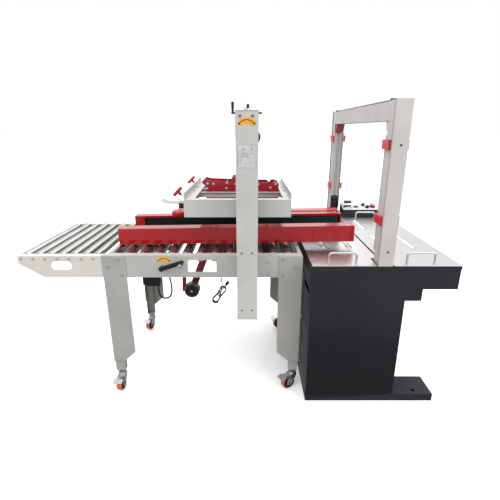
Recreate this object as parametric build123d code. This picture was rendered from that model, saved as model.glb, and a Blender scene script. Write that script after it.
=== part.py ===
from build123d import *
import math
import os

# Carton sealing and strapping line. A roller-bed carton sealer with two side
# belts and a height-adjustable taping head feeds an arch strapping machine.
# Frame: +X is the way the cartons travel, +Z is up, the near (operator) side is
# -Y. The origin is on the floor under the middle of the whole line. Millimetres.

# ---------------------------------------------------------------- driving sizes
SHEET = 3.0              # folded sheet of the sealer
BED_Y = -165.0           # centre line of the sealer
BED_HALF = 340.0         # centre line to the outer face of a side rail
BED_X0, BED_X1 = -650.0, 336.0
INFEED_X0 = -1060.0
TABLE_Z = 768.0          # top flange of the side rails
RAIL_H = 115.0
FLANGE = 40.0
ROLLER_TOP = TABLE_Z + 3.0

NEAR_Y = BED_Y - BED_HALF          # outer face of the near rail
FAR_Y = BED_Y + BED_HALF
RAIL_Z0 = TABLE_Z - RAIL_H

INFEED_ROLLER_R, INFEED_PITCH, INFEED_COUNT = 19.0, 59.0, 7
BED_ROLLER_R, BED_PITCH, BED_COUNT = 25.0, 73.0, 13
AXLE_R = 6.0
ROLLER_BORE_R = 6.1
ROLLER_GAP = 2.0                   # roller end to flange

LEG_W, LEG_DEPTH, LEG_Z0, LEG_CHAMFER_Z = 118.0, 45.0, 168.0, 226.0
LEG_FOOT_W, LEG_FOOT_D = 52.0, 12.0
INNER_LEG_W, INNER_LEG_D, INNER_LEG_Z0, INNER_LEG_Z1 = 48.0, 38.0, 110.0, 420.0

MAST_X, MAST_W, MAST_D, MAST_Z0, MAST_Z1 = 64.0, 96.0, 100.0, 473.0, 1427.0
SCREW_R = 10.0

HEAD_X0, HEAD_X1 = -235.0, 272.0
HEAD_HALF_Y = 325.0
HEAD_FLANGE_LEFT, HEAD_FLANGE_RIGHT = 48.0, 36.0
HEAD_Z0, HEAD_Z1, HEAD_SIDE_Z1 = 955.0, 1039.0, 1068.0
TAPE_PLATE_HALF = 58.0             # centre line to a taping head's outer face
TAPE_PLATE = 4.0
TAPE_X0, TAPE_X1 = -171.0, 230.0

BELT_X0, BELT_X1 = -610.0, 621.0
BELT_Z0, BELT_Z1 = 784.0, 869.0    # at the middle; the belts rise towards the outfeed
BELT_PITCH = 0.84                  # degrees
BELT_GAP_HALF = 115.0              # centre line to the mouth of a belt cover
COVER_D, COVER_LIP = 70.0, 12.0
PULLEY_R, BELT_T = 24.0, 2.0

CABINET_X0, CABINET_X1 = 365.0, 1057.0
CABINET_HALF = 610.0
DECK_Z, LID_T = 750.0, 4.0
ARCH_X, ARCH_W, ARCH_D = 704.0, 68.0, 80.0
ARCH_Z1, ARCH_INNER_Z = 1472.0, 1387.0


# ---------------------------------------------------------------- small helpers
def block(x0, x1, y0, y1, z0, z1):
    """A box from its corner planes."""
    centre = Pos((x0 + x1) / 2, (y0 + y1) / 2, (z0 + z1) / 2)
    return centre * Box(abs(x1 - x0), abs(y1 - y0), abs(z1 - z0))


def rod_z(r, x, y, z0, z1):
    return Pos(x, y, (z0 + z1) / 2) * Cylinder(r, abs(z1 - z0))


def rod_y(r, x, z, y0, y1):
    return Pos(x, (y0 + y1) / 2, z) * Rot(90, 0, 0) * Cylinder(r, abs(y1 - y0))


def rod_x(r, y, z, x0, x1):
    return Pos((x0 + x1) / 2, y, z) * Rot(0, 90, 0) * Cylinder(r, abs(x1 - x0))


def plate_xz(points, y0, y1):
    """An outline in the XZ plane, thickened from y0 to y1."""
    edge = Polyline(*[(x, y0, z) for x, z in points], close=True)
    return extrude(make_face(edge), amount=y1 - y0, dir=(0, 1, 0))


def plate_yz(points, x0, x1):
    edge = Polyline(*[(x0, y, z) for y, z in points], close=True)
    return extrude(make_face(edge), amount=x1 - x0, dir=(1, 0, 0))


def across(y):
    """The same place on the other side of the sealer's centre line."""
    return 2 * BED_Y - y


def both_sides(shape):
    """A near-side shape and its mirror on the far side."""
    return [shape, mirror(shape, about=Plane.XZ.offset(-BED_Y))]


# ---------------------------------------------------------------- sealer frame
WINDOW_X0, WINDOW_X1, WINDOW_Z0, WINDOW_Z1 = -228.0, -89.0, 682.0, 744.0
CRANK_X, CRANK_Z, WIDTH_SCREW_R = -352.0, 710.0, 8.0
GUIDE_XS, GUIDE_Z, GUIDE_R = (-427.5, 156.5), 666.0, 9.5
CROSS_BAR_XS = (-500.0, -65.0, 200.0)
CROSS_BAR_Z1 = RAIL_Z0 + SHEET + 20.0


def side_rails():
    """Channel rails: web outside, both flanges turned in."""
    x0, x1 = BED_X0 + SHEET, BED_X1 - SHEET
    rail = block(x0, x1, NEAR_Y, NEAR_Y + FLANGE, RAIL_Z0, TABLE_Z)
    rail -= block(x0, x1, NEAR_Y + SHEET, NEAR_Y + FLANGE, RAIL_Z0 + SHEET, TABLE_Z - SHEET)
    rail -= block(WINDOW_X0, WINDOW_X1, NEAR_Y - 1, NEAR_Y + SHEET + 1, WINDOW_Z0, WINDOW_Z1)
    near, far = both_sides(rail)
    near -= rod_y(WIDTH_SCREW_R + 1, CRANK_X, CRANK_Z, NEAR_Y - 1, NEAR_Y + SHEET + 1)
    return [near, far]


CORD_X, CORD_Y, GLAND_Z0, GLAND_R = -100.0, -205.0, 640.0, 7.0
TRAY_X1 = -370.0


def cross_members():
    """End channel, bars under the rollers, guide rods, cable tray and gland."""
    y0, y1 = NEAR_Y + SHEET, FAR_Y - SHEET
    inner0, inner1 = NEAR_Y + FLANGE, FAR_Y - FLANGE
    end_x1 = BED_X1 - SHEET
    end = block(end_x1 - 18, end_x1, inner0, inner1, RAIL_Z0, TABLE_Z)
    end -= block(end_x1 - 18, end_x1 - SHEET, inner0, inner1, RAIL_Z0 + SHEET, TABLE_Z - SHEET)
    start_x0 = BED_X0 + SHEET
    start = block(start_x0, start_x0 + SHEET, inner0, inner1, RAIL_Z0, TABLE_Z - 42)
    bars = [block(x - 10, x + 10, y0, y1, CROSS_BAR_Z1 - 20, CROSS_BAR_Z1) for x in CROSS_BAR_XS]
    rods = [rod_y(GUIDE_R, x, GUIDE_Z, y0, y1) for x in GUIDE_XS]
    tray = block(CROSS_BAR_XS[0] - 10, TRAY_X1, -225, -185, CROSS_BAR_Z1, CROSS_BAR_Z1 + 2)
    bracket = block(CORD_X - 12, CROSS_BAR_XS[1] - 10, CORD_Y - 12, CORD_Y + 12, 656, 659)
    gland = rod_z(GLAND_R, CORD_X, CORD_Y, GLAND_Z0, 656)
    return [end, start, *bars, *rods, tray, bracket, gland]


def infeed_side_plates():
    """The roller table's two side plates with a hand hole, and its fixed axles."""
    top, x1 = TABLE_Z - 3, BED_X0
    outline = [
        (INFEED_X0, top),
        (INFEED_X0, top - 40),
        (INFEED_X0 + 118, RAIL_Z0),
        (x1, RAIL_Z0),
        (x1, top),
    ]
    plate = plate_xz(outline, NEAR_Y, NEAR_Y + SHEET)
    plate += block(INFEED_X0, x1, NEAR_Y, NEAR_Y + FLANGE, top - SHEET, top)
    plate += block(INFEED_X0 + 122, x1, NEAR_Y, NEAR_Y + 20, RAIL_Z0, RAIL_Z0 + SHEET)
    hole_x0, hole_x1, hole_z, hole_r = -899.0, -800.0, 715.0, 22.0
    y0, y1 = NEAR_Y - 1, NEAR_Y + SHEET + 1
    plate -= rod_y(hole_r, hole_x0 + hole_r, hole_z, y0, y1)
    plate -= rod_y(hole_r, hole_x1 - hole_r, hole_z, y0, y1)
    plate -= block(hole_x0 + hole_r, hole_x1 - hole_r, y0, y1, hole_z - hole_r, hole_z + hole_r)
    axle = [rod_y(AXLE_R, x, INFEED_AXLE_Z, NEAR_Y + SHEET, FAR_Y - SHEET) for x in infeed_xs()]
    return [*both_sides(plate), *axle]


INFEED_AXLE_Z = ROLLER_TOP - INFEED_ROLLER_R
BED_AXLE_Z = ROLLER_TOP - BED_ROLLER_R


def infeed_xs():
    return [INFEED_X0 + 17 + INFEED_PITCH * i for i in range(INFEED_COUNT)]


def bed_xs():
    return [BED_X0 + 40 + BED_PITCH * i for i in range(BED_COUNT)]


def outer_legs():
    """Four folded legs: a face plate over the rail's web and an outer flange turned in."""

    def leg(x0, foot_at_start):
        x1 = x0 + LEG_W
        foot = x0 + LEG_FOOT_W
        outline = [
            (x0, LEG_Z0),
            (foot, LEG_Z0),
            (x1, LEG_CHAMFER_Z),
            (x1, TABLE_Z - 4),
            (x0, TABLE_Z - 4),
        ]
        shape = plate_xz(outline, NEAR_Y - SHEET, NEAR_Y)
        flange = [
            (NEAR_Y - SHEET, LEG_Z0),
            (NEAR_Y + LEG_FOOT_D, LEG_Z0),
            (NEAR_Y + LEG_DEPTH, LEG_CHAMFER_Z),
            (NEAR_Y + LEG_DEPTH, TABLE_Z - 46),
            (NEAR_Y - SHEET, TABLE_Z - 46),
        ]
        shape += plate_yz(flange, x0, x0 + SHEET)
        return shape if foot_at_start else mirror(shape, about=Plane.YZ.offset(x0 + LEG_W / 2))

    left, right = leg(BED_X0, True), leg(BED_X1 - LEG_W, False)
    return [*both_sides(left), *both_sides(right)]


def inner_leg_xs():
    return (BED_X0 + SHEET + 1, BED_X1 - SHEET - 1 - INNER_LEG_W)


def inner_legs():
    """Telescoping channels, open towards the bed, with a foot plate for the caster."""
    legs = []
    for x0 in inner_leg_xs():
        x1, y0 = x0 + INNER_LEG_W, NEAR_Y + 1
        y1 = y0 + INNER_LEG_D
        tube = block(x0, x1, y0, y1, INNER_LEG_Z0, INNER_LEG_Z1)
        tube -= block(x0 + SHEET, x1 - SHEET, y0 + SHEET, y1 + 1,
                      INNER_LEG_Z0 + 4, INNER_LEG_Z1 + 1)
        legs += both_sides(tube)
    return legs


def hex_head(x, y, z, r, h):
    """A hexagon bolt head on a face that looks to -Y."""
    head = extrude(RegularPolygon(r, 6), amount=h)
    return Pos(x, y, z) * Rot(90, 0, 0) * head


def frame_bolts():
    """Bolt heads of the legs, the roller axles and the mast brackets."""
    bolts = []
    leg_face = NEAR_Y - SHEET
    for x, z in ((-568, 752), (-620, 712), (-558, 669), (242, 750), (302, 711), (241, 668)):
        bolts += both_sides(hex_head(x, leg_face, z, 7, 5))
    for x in infeed_xs():
        bolts += both_sides(hex_head(x, NEAR_Y, INFEED_AXLE_Z, 6, 4))
    for x, z in ((168, 735), (168, 674)):
        bolts += both_sides(hex_head(x, NEAR_Y, z, 6, 4))
    return bolts


def roller_shell(x, z, r, wall, y0, y1):
    """A steel tube on two bearing plugs, bored to turn on its axle."""
    shell = rod_y(r, x, z, y0, y1) - rod_y(r - wall, x, z, y0 + 12, y1 - 12)
    return shell - rod_y(ROLLER_BORE_R, x, z, y0 - 1, y1 + 1)


def bed_rollers():
    """Rollers and axles of the bed; those beside the lower taping head are split in two."""
    near0, far1 = NEAR_Y + FLANGE + ROLLER_GAP, FAR_Y - FLANGE - ROLLER_GAP
    gap = TAPE_PLATE_HALF + 8
    rollers = []
    for x in bed_xs():
        split = TAPE_X0 - 5 < x < TAPE_X1
        spans = [(near0, BED_Y - gap), (BED_Y + gap, far1)] if split else [(near0, far1)]
        for y0, y1 in spans:
            axle_y0 = NEAR_Y + SHEET if y0 == near0 else y0 - 2
            axle_y1 = FAR_Y - SHEET if y1 == far1 else y1 + 2
            rollers.append(roller_shell(x, BED_AXLE_Z, BED_ROLLER_R, 3, y0, y1))
            rollers.append(rod_y(AXLE_R, x, BED_AXLE_Z, axle_y0, axle_y1))
    return rollers


def infeed_roller(x):
    y0, y1 = NEAR_Y + FLANGE + ROLLER_GAP, FAR_Y - FLANGE - ROLLER_GAP
    return roller_shell(x, INFEED_AXLE_Z, INFEED_ROLLER_R, 2, y0, y1)


# ---------------------------------------------------------------- casters
CASTER_R, CASTER_W, CASTER_TRAIL = 37.5, 28.0, 28.0
FORK_T, FORK_HALF, PEDAL_HALF = 3.0, 19.0, 26.0
KINGPIN_Z = 98.0


def caster_places():
    """(kingpin x, kingpin y, heading in degrees) of each caster."""
    left_x0, right_x0 = inner_leg_xs()
    left = left_x0 + INNER_LEG_W / 2
    right = right_x0 + INNER_LEG_W / 2
    y = NEAR_Y + 1 + INNER_LEG_D / 2
    return [(left, y, 265.0), (right, y, 210.0), (left, across(y), 250.0), (right, across(y), 190.0)]


def caster_fork(x, y, heading):
    """Fork with raceway, kingpin and brake pedal, built trailing towards +X."""
    cheek = [(-18, 84), (24, 84), (42, 50), (42, 26), (20, 26), (-8, 62)]
    fork = plate_xz(cheek, -FORK_HALF, -FORK_HALF + FORK_T)
    fork += plate_xz(cheek, FORK_HALF - FORK_T, FORK_HALF)
    fork += block(-18, 24, -FORK_HALF, FORK_HALF, 80, 84)
    fork += rod_z(21, 0, 0, 84, KINGPIN_Z)
    fork += rod_z(6, 0, 0, KINGPIN_Z, INNER_LEG_Z0)
    fork -= rod_y(5.08, CASTER_TRAIL, CASTER_R, -FORK_HALF - 1, FORK_HALF + 1)
    cheek_y = FORK_HALF - FORK_T - 0.5
    pedal = plate_xz([(24, 81), (58, 78), (58, 81), (24, 84)], -cheek_y, cheek_y)
    pedal += plate_xz([(54, 78), (80, 68), (81, 71), (56, 81)], -PEDAL_HALF, PEDAL_HALF)
    place = Pos(x, y, 0) * Rot(0, 0, heading)
    return [place * fork, place * pedal]


def caster_wheel(x, y, heading):
    """Tyre, core and axle pin in one, standing on the floor."""
    half = CASTER_W / 2
    wheel = rod_y(CASTER_R, CASTER_TRAIL, CASTER_R, -half, half)
    wheel = fillet(wheel.edges().filter_by(GeomType.CIRCLE), 5)
    wheel -= rod_y(22, CASTER_TRAIL, CASTER_R, half - 4, half + 1)
    wheel -= rod_y(22, CASTER_TRAIL, CASTER_R, -half - 1, 4 - half)
    wheel += rod_y(9, CASTER_TRAIL, CASTER_R, -FORK_HALF + FORK_T + 0.5, FORK_HALF - FORK_T - 0.5)
    wheel += rod_y(5, CASTER_TRAIL, CASTER_R, -FORK_HALF - 2, FORK_HALF + 2)
    return [Pos(x, y, 0) * Rot(0, 0, heading) * wheel]


# ---------------------------------------------------------------- masts and lift
NUT_HALF, NUT_Z0, NUT_Z1 = 22.0, 968.0, 1028.0
MAST_SLOT_HALF = 27.0


def mast_axis_y():
    return NEAR_Y - MAST_D / 2


def mast():
    """A tall box shell bolted to the rail, slotted for the head's arm, with a cap."""
    x0, x1 = MAST_X - MAST_W / 2, MAST_X + MAST_W / 2
    y0, y1 = NEAR_Y - MAST_D, NEAR_Y
    wall = 2.5
    shell = block(x0, x1, y0, y1, MAST_Z0, MAST_Z1 - SHEET)
    shell -= block(x0 + wall, x1 - wall, y0 + wall, y1 - wall, MAST_Z0 - 1, MAST_Z1)
    slot = block(MAST_X - MAST_SLOT_HALF, MAST_X + MAST_SLOT_HALF, y1 - 5, y1 + 1,
                 TABLE_Z + 50, MAST_Z1 - 20)
    shell -= slot
    base = block(x0 + wall, x1 - wall, y0 + wall, y1 - wall, MAST_Z0 + 6, MAST_Z0 + 10)
    cap = block(x0 - 2, x1 + 2, y0 - 2, y1, MAST_Z1 - SHEET, MAST_Z1)
    cap -= rod_z(SCREW_R + 1, MAST_X, mast_axis_y(), MAST_Z1 - 10, MAST_Z1 + 10)
    screws = [hex_head(x, y0, z, 5, 3) for x in (39, 87) for z in (525, 815)]
    screws += [hex_head(x, y0, 1405, 6, 5) for x in (36, 88)]
    return [shell, base, cap, *screws]


def near_leadscrew():
    y = mast_axis_y()
    screw = rod_z(SCREW_R, MAST_X, y, MAST_Z0 + 10, MAST_Z1 + 3)
    return [screw + rod_z(14, MAST_X, y, MAST_Z1 + 0.5, MAST_Z1 + 8)]


CRANK_REACH, GRIP_R, GRIP_H = 94.0, 9.0, 60.0


def far_leadscrew():
    """Screw, hand crank with a two-ended arm, and its revolving grip."""
    y = across(mast_axis_y())
    arm_z0, arm_z1 = MAST_Z1 + 16, MAST_Z1 + 26
    screw = rod_z(SCREW_R, MAST_X, y, MAST_Z0 + 10, arm_z0)
    screw += rod_z(14, MAST_X, y, MAST_Z1 + 0.5, arm_z0)
    arm = block(MAST_X - CRANK_REACH, MAST_X + 78, y - 9, y + 9, arm_z0, arm_z1)
    arm += rod_z(9, MAST_X - CRANK_REACH, y, arm_z0, arm_z1)
    arm += rod_z(9, MAST_X + 78, y, arm_z0, arm_z1)
    knob = rod_z(8.5, MAST_X, y, arm_z1, arm_z1 + 46)
    grip = Pos(MAST_X - CRANK_REACH, y, arm_z1 + GRIP_H / 2) * Cone(6.5, GRIP_R, GRIP_H)
    grip = fillet(grip.edges().sort_by(Axis.Z)[-1], 3)
    return [screw, arm, knob, grip]


# ---------------------------------------------------------------- taping heads
HUB_R, HUB_HALF, TOP_HUB_X, TOP_HUB_Z = 38.0, 25.0, 91.0, 1312.0


def top_head_frame():
    """Welded lift frame: beams front and back, higher side plates, mast arms."""
    y0, y1 = BED_Y - HEAD_HALF_Y, BED_Y + HEAD_HALF_Y
    x0, x1 = HEAD_X0 + SHEET, HEAD_X1 - SHEET
    frame = block(HEAD_X0, x0, y0, y1, HEAD_Z0, HEAD_SIDE_Z1)
    frame += block(x1, HEAD_X1, y0, y1, HEAD_Z0, HEAD_SIDE_Z1)
    side_y0, side_y1 = y0 + FLANGE, y1 - FLANGE
    frame += block(x0, HEAD_X0 + HEAD_FLANGE_LEFT, side_y0, side_y1, HEAD_Z1 - SHEET, HEAD_Z1)
    frame += block(HEAD_X1 - HEAD_FLANGE_RIGHT, x1, side_y0, side_y1, HEAD_Z1 - SHEET, HEAD_Z1)
    beam = block(x0, x1, y0, y0 + FLANGE, HEAD_Z0, HEAD_Z1)
    beam -= block(x0, x1, y0 + SHEET, y0 + FLANGE, HEAD_Z0 + SHEET, HEAD_Z1 - SHEET)
    arm = block(MAST_X - 20, MAST_X + 20, mast_axis_y() + NUT_HALF - 2, y0 + 1, 980, 1020)
    nut = block(MAST_X - NUT_HALF, MAST_X + NUT_HALF, mast_axis_y() - NUT_HALF,
                mast_axis_y() + NUT_HALF, NUT_Z0, NUT_Z1)
    nut -= rod_z(SCREW_R + 0.5, MAST_X, mast_axis_y(), NUT_Z0 - 1, NUT_Z1 + 1)
    bar_y1 = BED_Y - TAPE_PLATE_HALF - 1
    bar = block(x0, x1, bar_y1 - 18, bar_y1, 1004, 1034)
    bar -= block(x0, x1, bar_y1 - 18, bar_y1 - SHEET, 1004, 1034 - SHEET)
    for part in (beam, arm + nut, bar):
        near, far = both_sides(part)
        frame = frame + near + far
    return [frame]


def tape_plate_outline():
    """The side plate of a taping head, working edge down."""
    return [
        (TAPE_X0 + 18, 962), (TAPE_X0 + 60, 946), (TAPE_X1 - 60, 946), (TAPE_X1, 966),
        (TAPE_X1, 1078), (TAPE_X1 - 18, 1086), (TAPE_X1 - 34, 1086), (TAPE_X1 - 46, 1070),
        (TAPE_X1 - 60, 1084), (TAPE_X0 + 34, 1092), (TAPE_X0 + 4, 1100), (TAPE_X0 - 10, 1087),
        (TAPE_X0 - 2, 1073), (TAPE_X0 + 22, 1063), (TAPE_X0 + 26, 1052), (TAPE_X0 + 8, 1041),
    ]


SPACERS = ((-150, 1078), (-118, 1075), (-50, 1052), (-46, 1081), (0, 1075), (60, 1052),
           (120, 1073), (186, 1056), (213, 1075))


def top_tape_plates():
    """Two side plates, their spacer bolts, a guide roller and the hub bracket."""
    y0 = BED_Y - TAPE_PLATE_HALF
    plate = plate_xz(tape_plate_outline(), y0, y0 + TAPE_PLATE)
    solids = both_sides(plate)
    for x, z in SPACERS:
        solids.append(rod_y(5, x, z, y0 + TAPE_PLATE, across(y0) - TAPE_PLATE))
        solids += both_sides(hex_head(x, y0, z, 7.5, 4))
    solids.append(rod_y(13, -8, 1099, y0 + 8, across(y0) - 8))
    ear = plate_xz([(-24, 1090), (8, 1089), (4, 1110), (-20, 1110)], y0 - 2, y0)
    solids += both_sides(ear)
    mast_y0 = BED_Y - HUB_HALF - 14
    bracket = plate_xz([(46, 1064), (100, 1064), (112, 1330), (70, 1330)], mast_y0, mast_y0 + 6)
    bracket += block(40, 104, y0 + TAPE_PLATE, mast_y0, 1064, 1070)
    solids.append(bracket)
    solids.append(rod_y(5, TOP_HUB_X, TOP_HUB_Z, mast_y0 + 6, BED_Y + HUB_HALF + 8))
    return solids


def tape_hub(x, z, tape_r):
    """A core drum on its axle, with the tape wound on it."""
    drum = rod_y(HUB_R, x, z, BED_Y - HUB_HALF, BED_Y + HUB_HALF)
    drum -= rod_y(HUB_R - 6, x, z, BED_Y - HUB_HALF - 1, BED_Y - HUB_HALF + 10)
    drum -= rod_y(5.1, x, z, BED_Y - HUB_HALF - 1, BED_Y + HUB_HALF + 1)
    tape = rod_y(tape_r, x, z, BED_Y - 24, BED_Y + 24) - rod_y(HUB_R, x, z, BED_Y - 30, BED_Y + 30)
    return [drum, tape]


def wipe_arms():
    """The two roller arms that press the tape down, as one sprung piece."""
    y0, y1 = BED_Y - TAPE_PLATE_HALF + 10, BED_Y + TAPE_PLATE_HALF - 10
    solids = []
    for x, side in ((-120, 1), (178, -1)):
        arm = [(x - 12, 922), (x + 12, 922), (x + side * 40 + 10, 985), (x + side * 40 - 10, 985)]
        solids.append(plate_xz(arm, y0 - 4, y0) + rod_y(17, x, 922, y0, y1)
                      + plate_xz(arm, y1, y1 + 4))
    link = block(-90, 150, y0, y0 + 4, 968, 980)
    return [*solids, link]


KNOB_X, KNOB_Z, KNOB_TILT, KNOB_Y_OFF = HEAD_X0 - 26.0, 1043.0, -45.0, 222.0


def knob_ys():
    return (BED_Y - KNOB_Y_OFF, BED_Y + KNOB_Y_OFF)


def knob_bracket(y):
    """A foot on the head's side plate, a lip sloping at 45 degrees and its brace."""
    x1, reach = HEAD_X0, 18.4
    low = (KNOB_X - reach, KNOB_Z - reach)
    top = (x1 - 5, KNOB_Z + (x1 - 5 - KNOB_X))
    foot = block(x1 - 6, x1, y - 14, y + 14, 1004, 1064)
    lip = plate_xz([low, (low[0] + 2.2, low[1] - 2.2), (top[0] + 2.2, top[1] - 2.2), top],
                   y - 14, y + 14)
    brace = plate_xz([low, (low[0] + 2, low[1] - 4), (x1 - 3, 1004), (x1 - 3, 1008)], y - 3, y + 3)
    return foot + lip + brace


def flap_guide():
    """A ski that folds the carton's flaps, its black stop, and two clamp brackets."""
    x1, z, half = HEAD_X0, 964.0, 40.0
    flat_x, tip_x, tip_rise = x1 - 124, x1 - 176, 16
    flat = block(flat_x, x1, BED_Y - half, BED_Y + half, z, z + SHEET)
    curve_r = ((flat_x - tip_x) ** 2 + tip_rise ** 2) / (2 * tip_rise)
    ring = rod_y(curve_r, flat_x, z + curve_r, BED_Y - half, BED_Y + half)
    ring -= rod_y(curve_r - SHEET, flat_x, z + curve_r, BED_Y - half - 1, BED_Y + half + 1)
    curl = ring & block(tip_x, flat_x, BED_Y - half, BED_Y + half, z - 1, z + tip_rise + 9)
    stop_y = knob_ys()[0] + 2
    stop = block(x1 - 42, x1, stop_y - 12, stop_y + 12, 978, 1003)
    return [flat + curl, stop, *[knob_bracket(y) for y in knob_ys()]]


def t_knob(y):
    """A T-handle screw that stands square to the tilted bracket lip."""
    stem = rod_z(4, 0, 0, 0.3, 20) + rod_z(8, 0, 0, 4, 22)
    bar = rod_x(8.5, 0, 26, -29, 29)
    bar = fillet(bar.edges().filter_by(GeomType.CIRCLE), 4)
    return [Pos(KNOB_X, y, KNOB_Z) * Rot(0, KNOB_TILT, 0) * (stem + bar)]


LOWER_HUB_X, LOWER_HUB_Z = -270.0, 437.0
ARM_TOP_X, ARM_TOP_Z, ARM_W, ARM_T = -147.0, 748.0, 43.0, 5.0
ARM_PIN_X, ARM_PIN_Z = -152.0, 735.0
GUARD_W, GUARD_Z = 24.0, 518.0


def lower_tape_plates():
    """Lower taping head between the split rollers, its rollers proud of the bed."""
    y0 = BED_Y - TAPE_PLATE_HALF
    z0 = CROSS_BAR_Z1
    outline = [(TAPE_X0, z0 + 20), (TAPE_X0 + 30, z0), (TAPE_X1, z0), (TAPE_X1, 762),
               (TAPE_X0 + 20, 762), (TAPE_X0, 745)]
    plate = plate_xz(outline, y0, y0 + TAPE_PLATE)
    solids = both_sides(plate)
    for x, z in ((-130, 768), (-60, 740), (190, 768), (110, 735)):
        solids.append(rod_y(14, x, z, y0 + TAPE_PLATE, across(y0) - TAPE_PLATE))
    return solids


def strut(x0, z0, x1, z1, width, y0, y1):
    """A flat bar between two points in the XZ plane, with square ends."""
    run = math.hypot(x1 - x0, z1 - z0)
    nx, nz = -(z1 - z0) / run * width / 2, (x1 - x0) / run * width / 2
    return plate_xz([(x0 + nx, z0 + nz), (x0 - nx, z0 - nz), (x1 - nx, z1 - nz),
                     (x1 + nx, z1 + nz)], y0, y1)


def lower_tape_arm():
    """The arm behind the lower tape roll, with its pin, guard bar and axle."""
    plate_y = TAPE_PLATE_HALF - TAPE_PLATE
    y0 = BED_Y + HUB_HALF + 2
    y1 = y0 + ARM_T
    arm = strut(LOWER_HUB_X, LOWER_HUB_Z, ARM_TOP_X, ARM_TOP_Z, ARM_W, y0, y1)
    arm += rod_y(ARM_W / 2, LOWER_HUB_X, LOWER_HUB_Z, y0, y1)
    arm += rod_y(7, ARM_PIN_X, ARM_PIN_Z, BED_Y - plate_y, BED_Y + plate_y)
    guard_x = LOWER_HUB_X - 54
    guard = strut(guard_x, 412, guard_x + 6, GUARD_Z + 12, GUARD_W, y0, y1)
    guard += block(guard_x, -235, y0, y1, GUARD_Z - 12, GUARD_Z + 12)
    axle = rod_y(5, LOWER_HUB_X, LOWER_HUB_Z, BED_Y - HUB_HALF - 6, y0)
    return [arm + guard + axle]


# ---------------------------------------------------------------- side belts
PULLEY_Y = BED_Y - BELT_GAP_HALF + 2 - PULLEY_R - BELT_T
END_PLATE, PULLEY_INSET = 58.0, 34.0        # the infeed end is closed by a wider plate
PULLEY_XS = (BELT_X0 + END_PLATE + PULLEY_R + BELT_T + 1, BELT_X1 - PULLEY_INSET)
BAND_Z0, BAND_Z1 = BELT_Z0 + 6, BELT_Z1 - COVER_LIP - 3


def pitched(shape):
    """A belt part turned about the middle of the belts, rising towards +X."""
    middle = Pos((BELT_X0 + BELT_X1) / 2, 0, (BELT_Z0 + BELT_Z1) / 2)
    return middle * Rot(0, -BELT_PITCH, 0) * middle.inverse() * shape


def belt_cover():
    """A long folded cover, open below and towards the cartons, with closed ends."""
    y0, y1, wall = BED_Y - BELT_GAP_HALF - COVER_D, BED_Y - BELT_GAP_HALF, 2.0
    cover = block(BELT_X0, BELT_X1, y0, y1, BELT_Z0, BELT_Z1)
    cover -= block(BELT_X0 + wall, BELT_X1 - wall, y0 + wall, y1 + 1, BELT_Z0 - 1, BELT_Z1 - wall)
    lip_y0 = y1 - 1.5
    cover += block(BELT_X0, BELT_X1, lip_y0, y1, BELT_Z1 - COVER_LIP, BELT_Z1)
    cover += block(BELT_X0, BELT_X0 + END_PLATE, lip_y0, y1, BELT_Z0, BELT_Z1)
    cover += block(PULLEY_XS[1] + PULLEY_R + BELT_T + 1, BELT_X1, lip_y0, y1, BELT_Z0, BELT_Z1)
    return pitched(cover)


def belt_band():
    """The flat belt, a closed loop round both pulleys."""
    def loop(r):
        x0, x1 = PULLEY_XS
        run = block(x0, x1, PULLEY_Y - r, PULLEY_Y + r, BAND_Z0, BAND_Z1)
        ends = [rod_z(r, x, PULLEY_Y, BAND_Z0, BAND_Z1) for x in PULLEY_XS]
        return run + ends[0] + ends[1]

    return pitched(loop(PULLEY_R + BELT_T) - loop(PULLEY_R))


def belt_carriage():
    """The beam inside the belt, two pulleys, posts, slide blocks and the screw nut."""
    z0, z1 = BAND_Z0 + 4, BAND_Z1 - 2
    pulleys = [rod_z(PULLEY_R - 0.3, x, PULLEY_Y, z0, z1) for x in PULLEY_XS]
    beam = block(PULLEY_XS[0] + 30, PULLEY_XS[1] - 30, PULLEY_Y - 16, PULLEY_Y + 16, z0, z1)
    beam -= block(PULLEY_XS[0] + 29, PULLEY_XS[1] - 29, PULLEY_Y - 13, PULLEY_Y + 13,
                  z0 + 3, z1 - 3)
    tie = block(PULLEY_XS[0] - 8, PULLEY_XS[1] + 8, PULLEY_Y - 12, PULLEY_Y + 12, z1, z1 + 6)
    frame = pitched(beam + tie)
    for x in GUIDE_XS:
        frame += block(x - 6, x + 6, PULLEY_Y - 16, PULLEY_Y + 16, GUIDE_Z + 20, z0 + 8)
        slider = block(x - 20, x + 20, PULLEY_Y - 26, PULLEY_Y + 26, GUIDE_Z - 22, GUIDE_Z + 22)
        frame += slider - rod_y(GUIDE_R + 0.2, x, GUIDE_Z, PULLEY_Y - 30, PULLEY_Y + 30)
    nut = block(GUIDE_XS[0] + 6, CRANK_X + 14, PULLEY_Y - 12, PULLEY_Y + 12, GUIDE_Z + 14,
                GUIDE_Z + 22)
    nut += block(CRANK_X - 14, CRANK_X + 14, PULLEY_Y - 12, PULLEY_Y + 12, GUIDE_Z + 14,
                 CRANK_Z + 10.5)
    frame += nut
    frame -= rod_y(WIDTH_SCREW_R + 0.4, CRANK_X, CRANK_Z, PULLEY_Y - 20, PULLEY_Y + 20)
    return [frame, *[pitched(pulley) for pulley in pulleys]]


SHELF_X0, SHELF_D, SHELF_RISE = 290.0, 78.0, 4.0


def rear_shelf():
    """A folded ledge along the back of the far cover, past the taping head."""
    y0 = across(BED_Y - BELT_GAP_HALF - COVER_D)
    y1, x1, z1 = y0 + SHELF_D, BELT_X1 - 2, BELT_Z1 + SHELF_RISE
    shelf = block(SHELF_X0, x1, y0 - 1, y1, BELT_Z1 - 20, z1)
    shelf -= block(SHELF_X0 - 1, x1 + 1, y0 + 2, y1 - 2, BELT_Z1 - 21, z1 - 2)
    return pitched(shelf)


MOTOR_X, MOTOR_R, MOTOR_RISE = -344.0, 56.0, 24.0


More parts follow.
